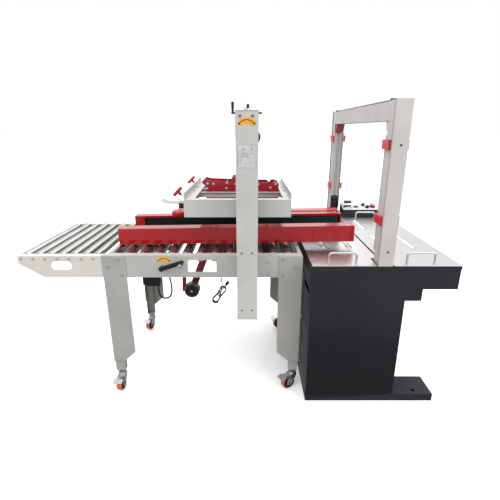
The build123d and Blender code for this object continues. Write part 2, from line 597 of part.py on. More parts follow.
def motor_cap():
    """The domed cap of the belt's gearmotor, on the far cover."""
    y = across(BED_Y - BELT_GAP_HALF - COVER_D / 2) + 26
    cap = rod_z(MOTOR_R, MOTOR_X, y, BELT_Z1, BELT_Z1 + MOTOR_RISE)
    cap = fillet(cap.edges().sort_by(Axis.Z)[-1], 18)
    cap -= rod_z(14, MOTOR_X, y - 12, BELT_Z1 + MOTOR_RISE - 4, BELT_Z1 + MOTOR_RISE + 10)
    return pitched(cap)


RAIL_CRANK_ARM, RAIL_CRANK_ANGLE = 105.0, 18.0


def rail_crank():
    """Width screw with its hub, arm and grip, outside the near rail."""
    screw = rod_y(WIDTH_SCREW_R, CRANK_X, CRANK_Z, NEAR_Y - 22, FAR_Y - 20)
    y0, y1 = NEAR_Y - 40, NEAR_Y - 22
    hub = rod_y(13, CRANK_X, CRANK_Z, y0, y1)
    hub = fillet(hub.edges().filter_by(GeomType.CIRCLE).sort_by(Axis.Y)[0], 4)
    tip_x = CRANK_X + RAIL_CRANK_ARM * math.cos(math.radians(RAIL_CRANK_ANGLE))
    tip_z = CRANK_Z + RAIL_CRANK_ARM * math.sin(math.radians(RAIL_CRANK_ANGLE))
    arm = strut(CRANK_X, CRANK_Z, tip_x, tip_z, 20, y0 + 2, y1 - 4)
    arm += rod_y(10, tip_x, tip_z, y0 + 2, y1 - 4)
    grip = Pos(tip_x, y0 + 2 - 26, tip_z) * Rot(90, 0, 0) * Cone(7, 10, 52)
    grip = fillet(grip.edges().sort_by(Axis.Y)[0], 3)
    return [screw, hub + arm, grip]


# ---------------------------------------------------------------- electrics and cords
def electric_box():
    """Breaker box on the far infeed leg, its backing plate and a rotary switch under it."""
    x0, x1, z0, z1 = BED_X0 + 10, BED_X0 + 125, 359, 536
    y1 = FAR_Y - LEG_DEPTH
    y0 = y1 - 54
    box = block(x0, x1, y0, y1 - 3, z0, z1)
    box = fillet(box.edges().filter_by(Axis.Y), 5)
    lid = block(x0 + 4, x1 - 4, y0 - 3, y0, z0 + 4, z1 - 4)
    backing = block(x0 + 8, x1 - 14, y1 - 3, y1, z0 - 30, z1 - 10)
    knob = rod_y(8, x0 + 48, z0 - 15, y1 - 17, y1 - 3)
    return [box, lid, backing, knob]


CABLE_R = 5.0
CABLE_POINTS = [(-452, -205, 676), (-452, -205, 610), (-458, -205, 545), (-462, -205, 478),
                (-461, -205, 419), (-439, -205, 397), (-409, -205, 397), (-387, -205, 419),
                (-383, -205, 476), (-392, -205, 532), (-405, -205, 585), (-411, -205, 628),
                (-411, -205, 676)]
CORD_R = 3.0
CORD_POINTS = [(CORD_X, CORD_Y, GLAND_Z0), (CORD_X, CORD_Y, 598), (-97, -206, 556),
               (-90, -205, 515), (-86, -205, 480)]


def swept_cord(points, r):
    """A round cord: straight runs joined by arcs as large as the runs allow."""
    radii = []
    for a, b, c in zip(points, points[1:], points[2:]):
        before, after = Vector(*b) - Vector(*a), Vector(*c) - Vector(*b)
        turn = math.radians(before.get_angle(after))
        radii.append(0.45 * min(before.length, after.length) / math.tan(turn / 2))
    path = FilletPolyline(*points, radius=radii)
    start = Plane(origin=path @ 0, z_dir=path % 0)
    cord = sweep(start * Circle(r), path=path)
    print("cord radii", [round(x) for x in radii], "length", round(path.length),
          "volume share", round(cord.volume / (math.pi * r * r * path.length), 4))
    return cord


HANK_TILT = 34.0


def hank_place():
    """From the hank's own frame (long axis Z, middle at 0) to the row frame."""
    return Pos(-105, CORD_Y, 421) * Rot(0, HANK_TILT, 0)


def cord_hank():
    """Outer shape of the tied-up length of the power cord."""
    shape = Box(44, 30, 128)
    return [hank_place() * fillet(shape.edges(), 9)]


def cord_plug():
    """Moulded plug with two pins, at the hank's upper end."""
    body = Pos(0, 0, 81) * Cylinder(9, 34)
    body = fillet(body.edges().sort_by(Axis.Z)[-1], 3)
    pins = [Pos(x, 0, 107) * Cylinder(2.2, 18) for x in (-5, 5)]
    return [hank_place() * (body + pins[0] + pins[1])]


# ---------------------------------------------------------------- strapping machine
FOOT_Y, FOOT_X1, FOOT_Z, PLINTH_Z = 146.0, 1027.0, 41.0, 45.0
BODY_X1, STEP_X1, STEP_Z0, STEP_Z1 = 815.0, 893.0, 575.0, 635.0
WALL = 3.0
ANCHOR_X, ANCHOR_Y, ANCHOR_R = 937.0, 579.0, 10.0
LID_Y1 = 388.0
NOTCH_HALF, NOTCH_Y = 40.0, CABINET_HALF - ARCH_D - 26     # the deck's cut-outs round the posts
SLOT_HALF = 5.0
REEL_X, REEL_Z, REEL_R, REEL_HALF = 590.0, 300.0, 190.0, 100.0


def cabinet_outline(inset):
    i = inset
    return [
        (CABINET_X0 + i, PLINTH_Z + i), (BODY_X1 - i, PLINTH_Z + i), (BODY_X1 - i, STEP_Z0 + i),
        (STEP_X1 - i, STEP_Z0 + i), (STEP_X1 - i, STEP_Z1 + i), (CABINET_X1 - i, STEP_Z1 + i),
        (CABINET_X1 - i, DECK_Z + (50 if i else 0)), (CABINET_X0 + i, DECK_Z + (50 if i else 0)),
    ]


def strapper_cabinet():
    """Stepped sheet shell, foot beams, plinth, deck bars and the rear deck plate."""
    shell = plate_xz(cabinet_outline(0), -CABINET_HALF, CABINET_HALF)
    shell -= plate_xz(cabinet_outline(WALL), -CABINET_HALF + WALL, CABINET_HALF - WALL)
    seam = block(CABINET_X0 - 1, CABINET_X0 + 1.2, -520, 520, 648, 652)
    slot = block(CABINET_X0 - 1, CABINET_X0 + WALL + 1, -562, -415, 584, 614)
    shell -= seam + slot
    foot = block(CABINET_X0, FOOT_X1, -CABINET_HALF, -CABINET_HALF + FOOT_Y, 0, FOOT_Z)
    foot -= block(CABINET_X0 + 4, FOOT_X1 - 4, -CABINET_HALF + 4, -CABINET_HALF + FOOT_Y - 4,
                  4, FOOT_Z - 4)
    foot -= rod_z(ANCHOR_R, ANCHOR_X, -ANCHOR_Y, -1, FOOT_Z + 1)
    foot += block(CABINET_X0, BODY_X1, -CABINET_HALF, -CABINET_HALF + FOOT_Y, FOOT_Z - 4, PLINTH_Z)
    feet = [foot, mirror(foot, about=Plane.XZ)]
    inner = CABINET_HALF - FOOT_Y
    plinth = block(CABINET_X0, BODY_X1, -inner, inner, 0, PLINTH_Z)
    plinth -= block(CABINET_X0 + 4, BODY_X1 - 4, -inner, inner, -1, PLINTH_Z - 4)
    edge = CABINET_HALF - WALL
    bars = [block(x, x + 10, -edge, edge, DECK_Z - 24, DECK_Z) for x in (650, 748)]
    pads = [block(660, 748, s * edge, s * (NOTCH_Y - 2), DECK_Z - 10, DECK_Z) for s in (-1, 1)]
    deck = block(CABINET_X0, CABINET_X1 + 3, LID_Y1 + 2, CABINET_HALF, DECK_Z, DECK_Z + LID_T)
    deck -= block(ARCH_X - NOTCH_HALF, ARCH_X + NOTCH_HALF, NOTCH_Y, CABINET_HALF + 1,
                  DECK_Z - 1, DECK_Z + 10)
    axle = rod_y(12, REEL_X, REEL_Z, REEL_HALF, edge)
    return [shell, *feet, plinth, *bars, *pads, deck, axle]


TABLE_ROLLER_R, TABLE_ROLLER_SINK = 12.0, 8.0
TABLE_ROLLER_SPANS = ((-344.0, -112.0), (44.0, 276.0))
LEFT_ROLLER_XS, RIGHT_ROLLER_XS = (470.0, 604.0), (797.0, 943.0)
HANDLE_W, HANDLE_H, HANDLE_R = 130.0, 50.0, 5.0


def handle(x, y):
    """A bent rod handle standing on a lid."""
    z0 = DECK_Z + LID_T
    x0, x1 = x - HANDLE_W / 2, x + HANDLE_W / 2
    path = FilletPolyline((x0, y, z0), (x0, y, z0 + HANDLE_H), (x1, y, z0 + HANDLE_H),
                          (x1, y, z0), radius=16)
    rod = sweep(Plane(origin=(x0, y, z0), z_dir=(0, 0, 1)) * Circle(HANDLE_R), path=path)
    return rod


def table_lid(x0, x1, notch_x0, notch_x1, roller_xs, handle_x):
    """A lift-off table plate with sunk rollers and two handles."""
    z0, z1 = DECK_Z, DECK_Z + LID_T
    plate = block(x0, x1, -CABINET_HALF, LID_Y1, z0, z1)
    plate -= block(notch_x0, notch_x1, -CABINET_HALF - 1, -NOTCH_Y, z0 - 1, z1 + 1)
    rollers = []
    half = TABLE_ROLLER_R + 2
    axle_z = z1 - TABLE_ROLLER_SINK
    for x in roller_xs:
        for y0, y1 in TABLE_ROLLER_SPANS:
            plate -= block(x - half, x + half, y0 - 3, y1 + 3, z0 - 1, z1 + 1)
            cradle = block(x - half - 2, x + half + 2, y0 - 6, y1 + 6, z0 - 22, z0)
            cradle -= block(x - half, x + half, y0 - 3, y1 + 3, z0 - 19, z0 + 1)
            rollers += [cradle, rod_y(TABLE_ROLLER_R, x, axle_z, y0, y1)
                        + rod_y(2.5, x, axle_z, y0 - 3, y1 + 3)]
    handles = [handle(handle_x, y) for y in (-CABINET_HALF + 35, LID_Y1 - 70)]
    return [plate, *rollers, *handles]


def table_lid_left():
    notch_x0 = ARCH_X - NOTCH_HALF
    return table_lid(CABINET_X0, ARCH_X - SLOT_HALF, notch_x0, ARCH_X, LEFT_ROLLER_XS, 511)


def table_lid_right():
    notch_x1 = ARCH_X + NOTCH_HALF
    return table_lid(ARCH_X + SLOT_HALF, CABINET_X1 + 3, ARCH_X, notch_x1, RIGHT_ROLLER_XS, 879)


COVER_T, GROOVE = 18.0, 8.0
TRACK_HALF, TRACK_D = 10.0, 12.0
CLIP_T = 13.0


def arch_frame():
    """Two posts and a beam. A post is a wide outer cover, a groove and an inner profile."""
    def post():
        y0, half = -CABINET_HALF, ARCH_W / 2
        y_in = y0 + ARCH_D
        outer = block(ARCH_X - half, ARCH_X + half, y0, y0 + COVER_T, DECK_Z, ARCH_Z1)
        neck = block(ARCH_X - 20, ARCH_X + 20, y0 + COVER_T, y0 + COVER_T + GROOVE, DECK_Z, ARCH_Z1)
        inner = block(ARCH_X - half + 2, ARCH_X + half - 2, y0 + COVER_T + GROOVE, y_in,
                      DECK_Z, ARCH_Z1 - 3)
        inner -= block(ARCH_X - half + 5, ARCH_X + half - 5, y0 + COVER_T + GROOVE + 3,
                       y_in - TRACK_D - 3, DECK_Z - 1, ARCH_Z1 - 8)
        inner -= block(ARCH_X - TRACK_HALF, ARCH_X + TRACK_HALF, y_in - TRACK_D, y_in + 1,
                       DECK_Z - 1, ARCH_INNER_Z)
        screws = [hex_head(ARCH_X + 2, y0, z, 5, 3) for z in (820, 1290)]
        return [outer + neck + inner, *screws]

    posts = post()
    posts += [mirror(s, about=Plane.XZ) for s in posts]
    y = CABINET_HALF - ARCH_D
    half = ARCH_W / 2 - 2
    beam = block(ARCH_X - half, ARCH_X + half, -y, y, ARCH_INNER_Z, ARCH_Z1 - 6)
    beam -= block(ARCH_X - half + 3, ARCH_X + half - 3, -y, y, ARCH_INNER_Z + TRACK_D + 3,
                  ARCH_Z1 - 9)
    beam -= block(ARCH_X - TRACK_HALF, ARCH_X + TRACK_HALF, -y, y, ARCH_INNER_Z - 1,
                  ARCH_INNER_Z + TRACK_D)
    ridge = block(ARCH_X - half + 4, ARCH_X + half - 4, -y, y, ARCH_Z1 - 6, ARCH_Z1)
    return [*posts, beam, ridge]


def arch_clips():
    """Snap-on clips that hold the strap gates, and the two corner guides."""
    solids = []
    half = ARCH_W / 2 - 2
    y0, y1 = -CABINET_HALF + COVER_T + 2, -CABINET_HALF + ARCH_D + 22
    for side in (-1, 1):
        for z in (960, 1290):
            clip = block(ARCH_X + side * half, ARCH_X + side * (half + CLIP_T), y0, y1,
                         z - 21, z + 21)
            solids += [clip, mirror(clip, about=Plane.XZ)]
    corner_y = CABINET_HALF - ARCH_D
    corner = plate_yz([(-corner_y, ARCH_INNER_Z), (-corner_y, ARCH_INNER_Z - 54),
                       (-corner_y + 18, ARCH_INNER_Z - 54), (-corner_y + 40, ARCH_INNER_Z - 30),
                       (-corner_y + 50, ARCH_INNER_Z)], ARCH_X - 26, ARCH_X + 26)
    solids += [corner, mirror(corner, about=Plane.XZ)]
    return solids


def strap_track():
    """Strap channel liners, the thin side gates, base guides and black corner caps."""
    y_in = -CABINET_HALF + ARCH_D
    inner = block(ARCH_X - TRACK_HALF, ARCH_X + TRACK_HALF, y_in - TRACK_D, y_in - 2, 890,
                  ARCH_INNER_Z - 56)
    guide = plate_yz([(y_in, DECK_Z), (y_in + 16, DECK_Z), (y_in + 16, 870), (y_in, 886)],
                     ARCH_X - 26, ARCH_X + 26)
    cap = block(ARCH_X - 31, ARCH_X + 31, y_in + 1, y_in + 14, ARCH_Z1, ARCH_Z1 + 5)
    solids = []
    for part in (inner, guide, cap):
        solids += [part, mirror(part, about=Plane.XZ)]
    half = ARCH_W / 2 - 2
    for side in (-1, 1):
        gate = block(ARCH_X + side * (half - 3), ARCH_X + side * half, y_in, y_in + 20, 800, 1330)
        solids += [gate, mirror(gate, about=Plane.XZ)]
    beam_y = CABINET_HALF - ARCH_D - 52
    solids.append(block(ARCH_X - TRACK_HALF, ARCH_X + TRACK_HALF, -beam_y, beam_y,
                        ARCH_INNER_Z + 2, ARCH_INNER_Z + TRACK_D))
    return solids


CONSOLE_X0, CONSOLE_X1, CONSOLE_Y0, CONSOLE_Y1 = 748.0, 992.0, 398.0, 520.0
CONSOLE_Z1, CONSOLE_RISE = 804.0, 26.0
PANEL_SLOPE = math.degrees(math.atan2(CONSOLE_RISE, CONSOLE_Y1 - CONSOLE_Y0))


def panel_place(x, y):
    """A place on the sloped panel, its Z axis square to the panel."""
    z = CONSOLE_Z1 + 3 + (y - CONSOLE_Y0) * CONSOLE_RISE / (CONSOLE_Y1 - CONSOLE_Y0)
    return Pos(x, y, z) * Rot(PANEL_SLOPE, 0, 0)


ESTOP_AT, START_AT, FEED_AT = (966.0, 445.0), (904.0, 470.0), (924.0, 430.0)


def console():
    """Wedge housing, light panel, switch box with flap, and the button collars."""
    z0, rise = DECK_Z + LID_T, CONSOLE_RISE
    y0, y1 = CONSOLE_Y0, CONSOLE_Y1
    body = plate_yz([(y0, z0), (y1, z0), (y1, CONSOLE_Z1 + rise), (y0, CONSOLE_Z1)],
                    CONSOLE_X0, CONSOLE_X1)
    panel = plate_yz([(y0 - 2, CONSOLE_Z1), (y1, CONSOLE_Z1 + rise), (y1, CONSOLE_Z1 + rise + 3),
                      (y0 - 2, CONSOLE_Z1 + 3)], CONSOLE_X0 - 2, CONSOLE_X1 + 2)
    for x, y in (ESTOP_AT, START_AT, FEED_AT):
        well = panel_place(x, y) * Pos(0, 0, -8) * Cylinder(9, 30)
        body -= well
        panel -= well
    switch_box = panel_place(785, 455) * Pos(0, 0, 11) * Box(66, 60, 22)
    flap = panel_place(790, 470) * Pos(0, 0, 27) * Rot(14, 0, 0) * Box(56, 34, 5)
    flap_post = panel_place(790, 470) * Pos(0, 0, 23) * Box(40, 6, 5)
    dots = [panel_place(x, 425) * Pos(0, -1.5, 12) * Rot(90, 0, 0) * Cylinder(4, 3)
            for x in (776, 796)]
    rocker = panel_place(846, 440) * Pos(0, 0, 3.5) * Box(30, 22, 7)
    collars = []
    for x, y, r in ((*ESTOP_AT, 21), (*START_AT, 14), (*FEED_AT, 14)):
        collars.append(panel_place(x, y) * Pos(0, 0, 2) * (Cylinder(r, 4) - Cylinder(9, 10)))
    return [body, panel, switch_box, flap, flap_post, *dots, rocker, *collars]


def button(at, r, reach):
    """A push button: a cap above its collar and a stem in the panel."""
    cap = Pos(0, 0, 4 + reach) * Cylinder(r, 8)
    cap = fillet(cap.edges().sort_by(Axis.Z)[-1], 2.5)
    stem = Pos(0, 0, (reach - 4) / 2) * Cylinder(7.5, reach + 4)
    return [panel_place(*at) * (cap + stem)]


def strap_reel():
    """Reel flanges, hub and the strap coil, on the axle inside the cabinet."""
    y0, y1 = -REEL_HALF, REEL_HALF
    def disc(r, a, b):
        return rod_y(r, REEL_X, REEL_Z, a, b)

    bore = disc(12.1, y0 - 1, y1 + 1)
    hub = disc(60, y0 + 20, y1 + 70) + disc(REEL_R, y0, y0 + 6) + disc(REEL_R, y1 + 64, y1 + 70)
    coil = disc(150, y0 + 6, y1 + 64) - disc(60, y0 - 1, y1 + 80)
    hub -= rod_y(12.1, REEL_X, REEL_Z, REEL_HALF - 1, y1 + 80)
    hub -= bore
    return [hub, coil]


def sealing_head():
    """Anvil, three cutter blocks, feed rollers and the drive motor under the slot."""
    x0, x1, top = ARCH_X - 38, ARCH_X + 38, DECK_Z - 2
    base = block(x0, x1, -130, 130, 600, 640)
    cheeks = [block(x0, x0 + 8, -130, 130, 640, top - 24), block(x1 - 8, x1, -130, 130, 640, top - 24)]
    cutters = [block(ARCH_X - 12, ARCH_X + 12, y - 14, y + 14, 640, top - 22) for y in (-60, 0, 60)]
    anvil = block(ARCH_X - 18, ARCH_X + 18, -90, 90, top - 20, top)
    rollers = [rod_x(22, y, 670, x0 + 8, x1 - 8) for y in (-104, 104)]
    motor = rod_x(45, 0, 540, x0 - 60, x1 + 20)
    stand = block(ARCH_X - 20, ARCH_X + 20, -20, 20, 580, 600)
    return [base, *cheeks, *cutters, anvil, *rollers, motor + stand]


# ---------------------------------------------------------------- writing the nodes
def nodes():
    """Every node's name and its solids."""
    cover_near, cover_far = both_sides(belt_cover())
    band_near, band_far = both_sides(belt_band())
    carriage = belt_carriage()
    mast_near = mast()
    mirror_plane = Plane.XZ.offset(-BED_Y)
    made = {
        "sealer_side_rails": side_rails(),
        "sealer_cross_members": cross_members(),
        "infeed_side_plates": infeed_side_plates(),
        "outer_legs": outer_legs(),
        "inner_legs": inner_legs(),
        "frame_bolts": frame_bolts(),
        "bed_rollers": bed_rollers(),
        "mast_near": mast_near,
        "mast_far": [mirror(s, about=mirror_plane) for s in mast_near],
        "leadscrew_near": near_leadscrew(),
        "leadscrew_far": far_leadscrew(),
        "rail_crank": rail_crank(),
        "electric_box": electric_box(),
        "belt_cover_near": [cover_near],
        "belt_cover_far": [cover_far + rear_shelf(), motor_cap()],
        "belt_near": [band_near],
        "belt_far": [band_far],
        "belt_carriage_near": carriage,
        "belt_carriage_far": [mirror(s, about=mirror_plane) for s in carriage],
        "top_head_frame": top_head_frame(),
        "top_tape_plates": top_tape_plates(),
        "top_wipe_arms": wipe_arms(),
        "top_tape_hub": tape_hub(TOP_HUB_X, TOP_HUB_Z, 41),
        "flap_guide": flap_guide(),
        "t_knob_near": t_knob(knob_ys()[0]),
        "t_knob_far": t_knob(knob_ys()[1]),
        "lower_tape_plates": lower_tape_plates(),
        "lower_tape_arm": lower_tape_arm(),
        "lower_tape_hub": tape_hub(LOWER_HUB_X, LOWER_HUB_Z, 44),
        "strapper_cabinet": strapper_cabinet(),
        "table_lid_left": table_lid_left(),
        "table_lid_right": table_lid_right(),
        "arch_frame": arch_frame(),
        "arch_clips": arch_clips(),
        "strap_track": strap_track(),
        "console": console(),
        "estop_button": button(ESTOP_AT, 19, 10),
        "start_button": button(START_AT, 12, 8),
        "feed_button": button(FEED_AT, 12, 8),
        "strap_reel": strap_reel(),
        "sealing_head": sealing_head(),
        "motor_cable": [swept_cord(CABLE_POINTS, CABLE_R)],
        "power_cord": [swept_cord(CORD_POINTS, CORD_R)],
        "cord_hank": cord_hank(),
        "cord_plug": cord_plug(),
    }
    for i, x in enumerate(infeed_xs(), 1):
        made[f"infeed_roller_{i}"] = [infeed_roller(x)]
    for i, place in enumerate(caster_places(), 1):
        made[f"caster_fork_{i}"] = caster_fork(*place)
        made[f"caster_wheel_{i}"] = caster_wheel(*place)
    return made


os.makedirs("parts", exist_ok=True)
for name, shapes in nodes().items():
    solids = [solid for shape in shapes for solid in shape.solids()]
    export_step(Compound(solids), f"parts/{name}.step")
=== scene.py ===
import math
import random

import bmesh
import bpy
from mathutils import Matrix, Vector


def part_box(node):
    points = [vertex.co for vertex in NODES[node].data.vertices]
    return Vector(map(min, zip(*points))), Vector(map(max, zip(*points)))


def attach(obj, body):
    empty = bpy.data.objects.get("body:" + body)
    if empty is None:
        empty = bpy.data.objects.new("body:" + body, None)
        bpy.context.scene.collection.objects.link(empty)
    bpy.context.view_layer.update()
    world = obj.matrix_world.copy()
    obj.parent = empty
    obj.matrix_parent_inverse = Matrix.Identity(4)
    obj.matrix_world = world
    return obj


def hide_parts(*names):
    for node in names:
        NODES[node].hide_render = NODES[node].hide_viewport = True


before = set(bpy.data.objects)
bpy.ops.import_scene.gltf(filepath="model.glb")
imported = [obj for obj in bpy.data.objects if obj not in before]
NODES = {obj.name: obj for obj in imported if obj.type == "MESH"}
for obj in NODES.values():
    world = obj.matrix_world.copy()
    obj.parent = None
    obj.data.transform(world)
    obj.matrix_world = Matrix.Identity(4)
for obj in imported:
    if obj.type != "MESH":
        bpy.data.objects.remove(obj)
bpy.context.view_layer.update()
random.seed(7)

RAILS_LOW, RAILS_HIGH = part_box("sealer_side_rails")
MID_Y = (RAILS_LOW.y + RAILS_HIGH.y) / 2         # centre plane of the sealer
RAIL_HALF = RAILS_HIGH.y - MID_Y
MAST_FACE = RAIL_HALF + 0.100                    # from the centre plane to a mast's outer face
TABLE_TOP = 0.754
ARCH_X = 0.704
CASTER_HEADINGS = (265, 210, 250, 190)           # degrees, the way each caster trails
COVER_X, COVER_Z = (-0.610, 0.621), (0.784, 0.869)
COVER_Y = (0.115, 0.185)                         # inner and outer side, from the centre plane
BELT_MIDDLE = Vector((sum(COVER_X) / 2, 0, sum(COVER_Z) / 2))
BELT_PITCH = math.radians(0.84)
ON_TOP = 0.0001                                  # lifts a label clear of the face it lies on


# ---------------------------------------------------------------- materials
def shader(name):
    """A new material with its node tree and its Principled shader."""
    made = bpy.data.materials.new(name)
    made.use_nodes = True
    tree = made.node_tree
    return made, tree, tree.nodes["Principled BSDF"]


def node(tree, kind, **values):
    """Adds a shader node, setting sockets by name and other settings by attribute."""
    made = tree.nodes.new(kind)
    for key, value in values.items():
        if key in made.inputs:
            made.inputs[key].default_value = value
        else:
            setattr(made, key, value)
    return made


def place(tree, stretch=(1, 1, 1)):
    """Object coordinates in metres, stretched along the axes."""
    where = node(tree, "ShaderNodeTexCoord")
    mapping = node(tree, "ShaderNodeMapping", Scale=stretch)
    tree.links.new(where.outputs["Object"], mapping.inputs["Vector"])
    return mapping.outputs["Vector"]


def noise(tree, scale, detail=3.0, stretch=(1, 1, 1), rough=0.5):
    made = node(tree, "ShaderNodeTexNoise", Scale=scale, Detail=detail, Roughness=rough)
    tree.links.new(place(tree, stretch), made.inputs["Vector"])
    return made.outputs["Fac"]


def spread(tree, value, low, high, out_low=0.0, out_high=1.0):
    """Remaps a value's range and clamps it."""
    made = node(tree, "ShaderNodeMapRange")
    made.inputs["From Min"].default_value = low
    made.inputs["From Max"].default_value = high
    made.inputs["To Min"].default_value = out_low
    made.inputs["To Max"].default_value = out_high
    tree.links.new(value, made.inputs["Value"])
    return made.outputs["Result"]


def blend_colour(tree, factor, first, second):
    """Mixes two colours, each a value or a socket, by a socket."""
    made = node(tree, "ShaderNodeMix", data_type="RGBA")
    tree.links.new(factor, made.inputs[0])
    for socket, colour in ((made.inputs[6], first), (made.inputs[7], second)):
        if isinstance(colour, (tuple, list)):
            socket.default_value = (*colour[:3], 1.0)
        else:
            tree.links.new(colour, socket)
    return made.outputs[2]


def bump(tree, bsdf, height, distance, strength=1.0):
    made = node(tree, "ShaderNodeBump", Strength=strength, Distance=distance)
    tree.links.new(height, made.inputs["Height"])
    tree.links.new(made.outputs["Normal"], bsdf.inputs["Normal"])


def shade_of(colour, factor):
    return tuple(min(1.0, c * factor) for c in colour)


def coat(name, colour, rough=0.42, peel=0.00006, gloss=0.0, drift=0.06, dirt_and_low_shade=0.0, shine=0.5):
    """Powder coat or paint: slow colour drift, orange peel, uneven gloss, and low down a darkening that is
    dirt and painted shade in one.
    """
    made, tree, bsdf = shader(name)
    bsdf.inputs["Specular IOR Level"].default_value = shine
    patch = spread(tree, noise(tree, 5.0, 4.0), 0.35, 0.65)
    base = blend_colour(tree, patch, shade_of(colour, 1 - drift), shade_of(colour, 1 + drift))
    speck = spread(tree, noise(tree, 260.0, 2.0), 0.66, 0.74, 0.0, 0.35)
    base = blend_colour(tree, speck, base, shade_of(colour, 0.8))
    # painted shade mixed with dirt: darker and browner towards the floor, broken up by noise
    if dirt_and_low_shade:
        split = node(tree, "ShaderNodeSeparateXYZ")
        tree.links.new(place(tree), split.inputs[0])
        low = spread(tree, split.outputs["Z"], 0.02, 0.32, 1.0, 0.0)
        dirt_and_shade = node(tree, "ShaderNodeMath", operation="MULTIPLY")
        tree.links.new(low, dirt_and_shade.inputs[0])
        tree.links.new(spread(tree, noise(tree, 16.0, 6.0), 0.4, 0.7, 0.0, dirt_and_low_shade), dirt_and_shade.inputs[1])
        base = blend_colour(tree, dirt_and_shade.outputs[0], base, (0.16, 0.14, 0.12))
    tree.links.new(base, bsdf.inputs["Base Color"])
    tree.links.new(spread(tree, noise(tree, 9.0, 5.0), 0.3, 0.7, rough - 0.05, rough + 0.08),
                   bsdf.inputs["Roughness"])
    bsdf.inputs["Coat Weight"].default_value = gloss
    bsdf.inputs["Coat Roughness"].default_value = 0.08
    bump(tree, bsdf, noise(tree, 700.0, 2.0), peel)
    return made


def metal(name, colour, rough=0.3, grain=(1, 1, 1), grain_scale=60.0, depth=0.00002, drift=0.12):
    """Bare metal with a drawn or brushed grain that runs along the axis of the smallest stretch."""
    made, tree, bsdf = shader(name)
    bsdf.inputs["Metallic"].default_value = 1.0
    lines = noise(tree, grain_scale, 6.0, grain, 0.65)
    cloud = spread(tree, noise(tree, 7.0, 4.0), 0.3, 0.7)
    base = blend_colour(tree, cloud, shade_of(colour, 1 - drift), shade_of(colour, 1 + drift * 0.5))
    base = blend_colour(tree, spread(tree, lines, 0.35, 0.65, 0.0, 0.5), base, shade_of(colour, 0.86))
    tree.links.new(base, bsdf.inputs["Base Color"])
    tree.links.new(spread(tree, lines, 0.3, 0.7, rough - 0.07, rough + 0.1), bsdf.inputs["Roughness"])
    bump(tree, bsdf, lines, depth)
    return made


def moulded(name, colour, rough=0.45, grain=0.00005, scale=900.0, shine=0.3):
    """Moulded plastic or rubber with a fine spark-eroded grain."""
    made, tree, bsdf = shader(name)
    bsdf.inputs["Specular IOR Level"].default_value = shine
    patch = spread(tree, noise(tree, 30.0, 3.0), 0.35, 0.65)
    tree.links.new(blend_colour(tree, patch, shade_of(colour, 0.88), shade_of(colour, 1.1)),
                   bsdf.inputs["Base Color"])
    tree.links.new(spread(tree, noise(tree, 45.0, 4.0), 0.3, 0.7, rough - 0.06, rough + 0.08),
                   bsdf.inputs["Roughness"])
    bump(tree, bsdf, noise(tree, scale, 2.0), grain)
    return made


# The rail and leg greys below are darker copies of the one grey paint: painted shade for the lower frame,
# which gets less light than the head and masts.
GREY = (0.435, 0.435, 0.415)
RAIL_SHADE_GREY = (0.385, 0.387, 0.362)
LEG_SHADE_GREY = (0.32, 0.322, 0.30)
RED = (0.33, 0.006, 0.009)                       # deep gloss red of the covers

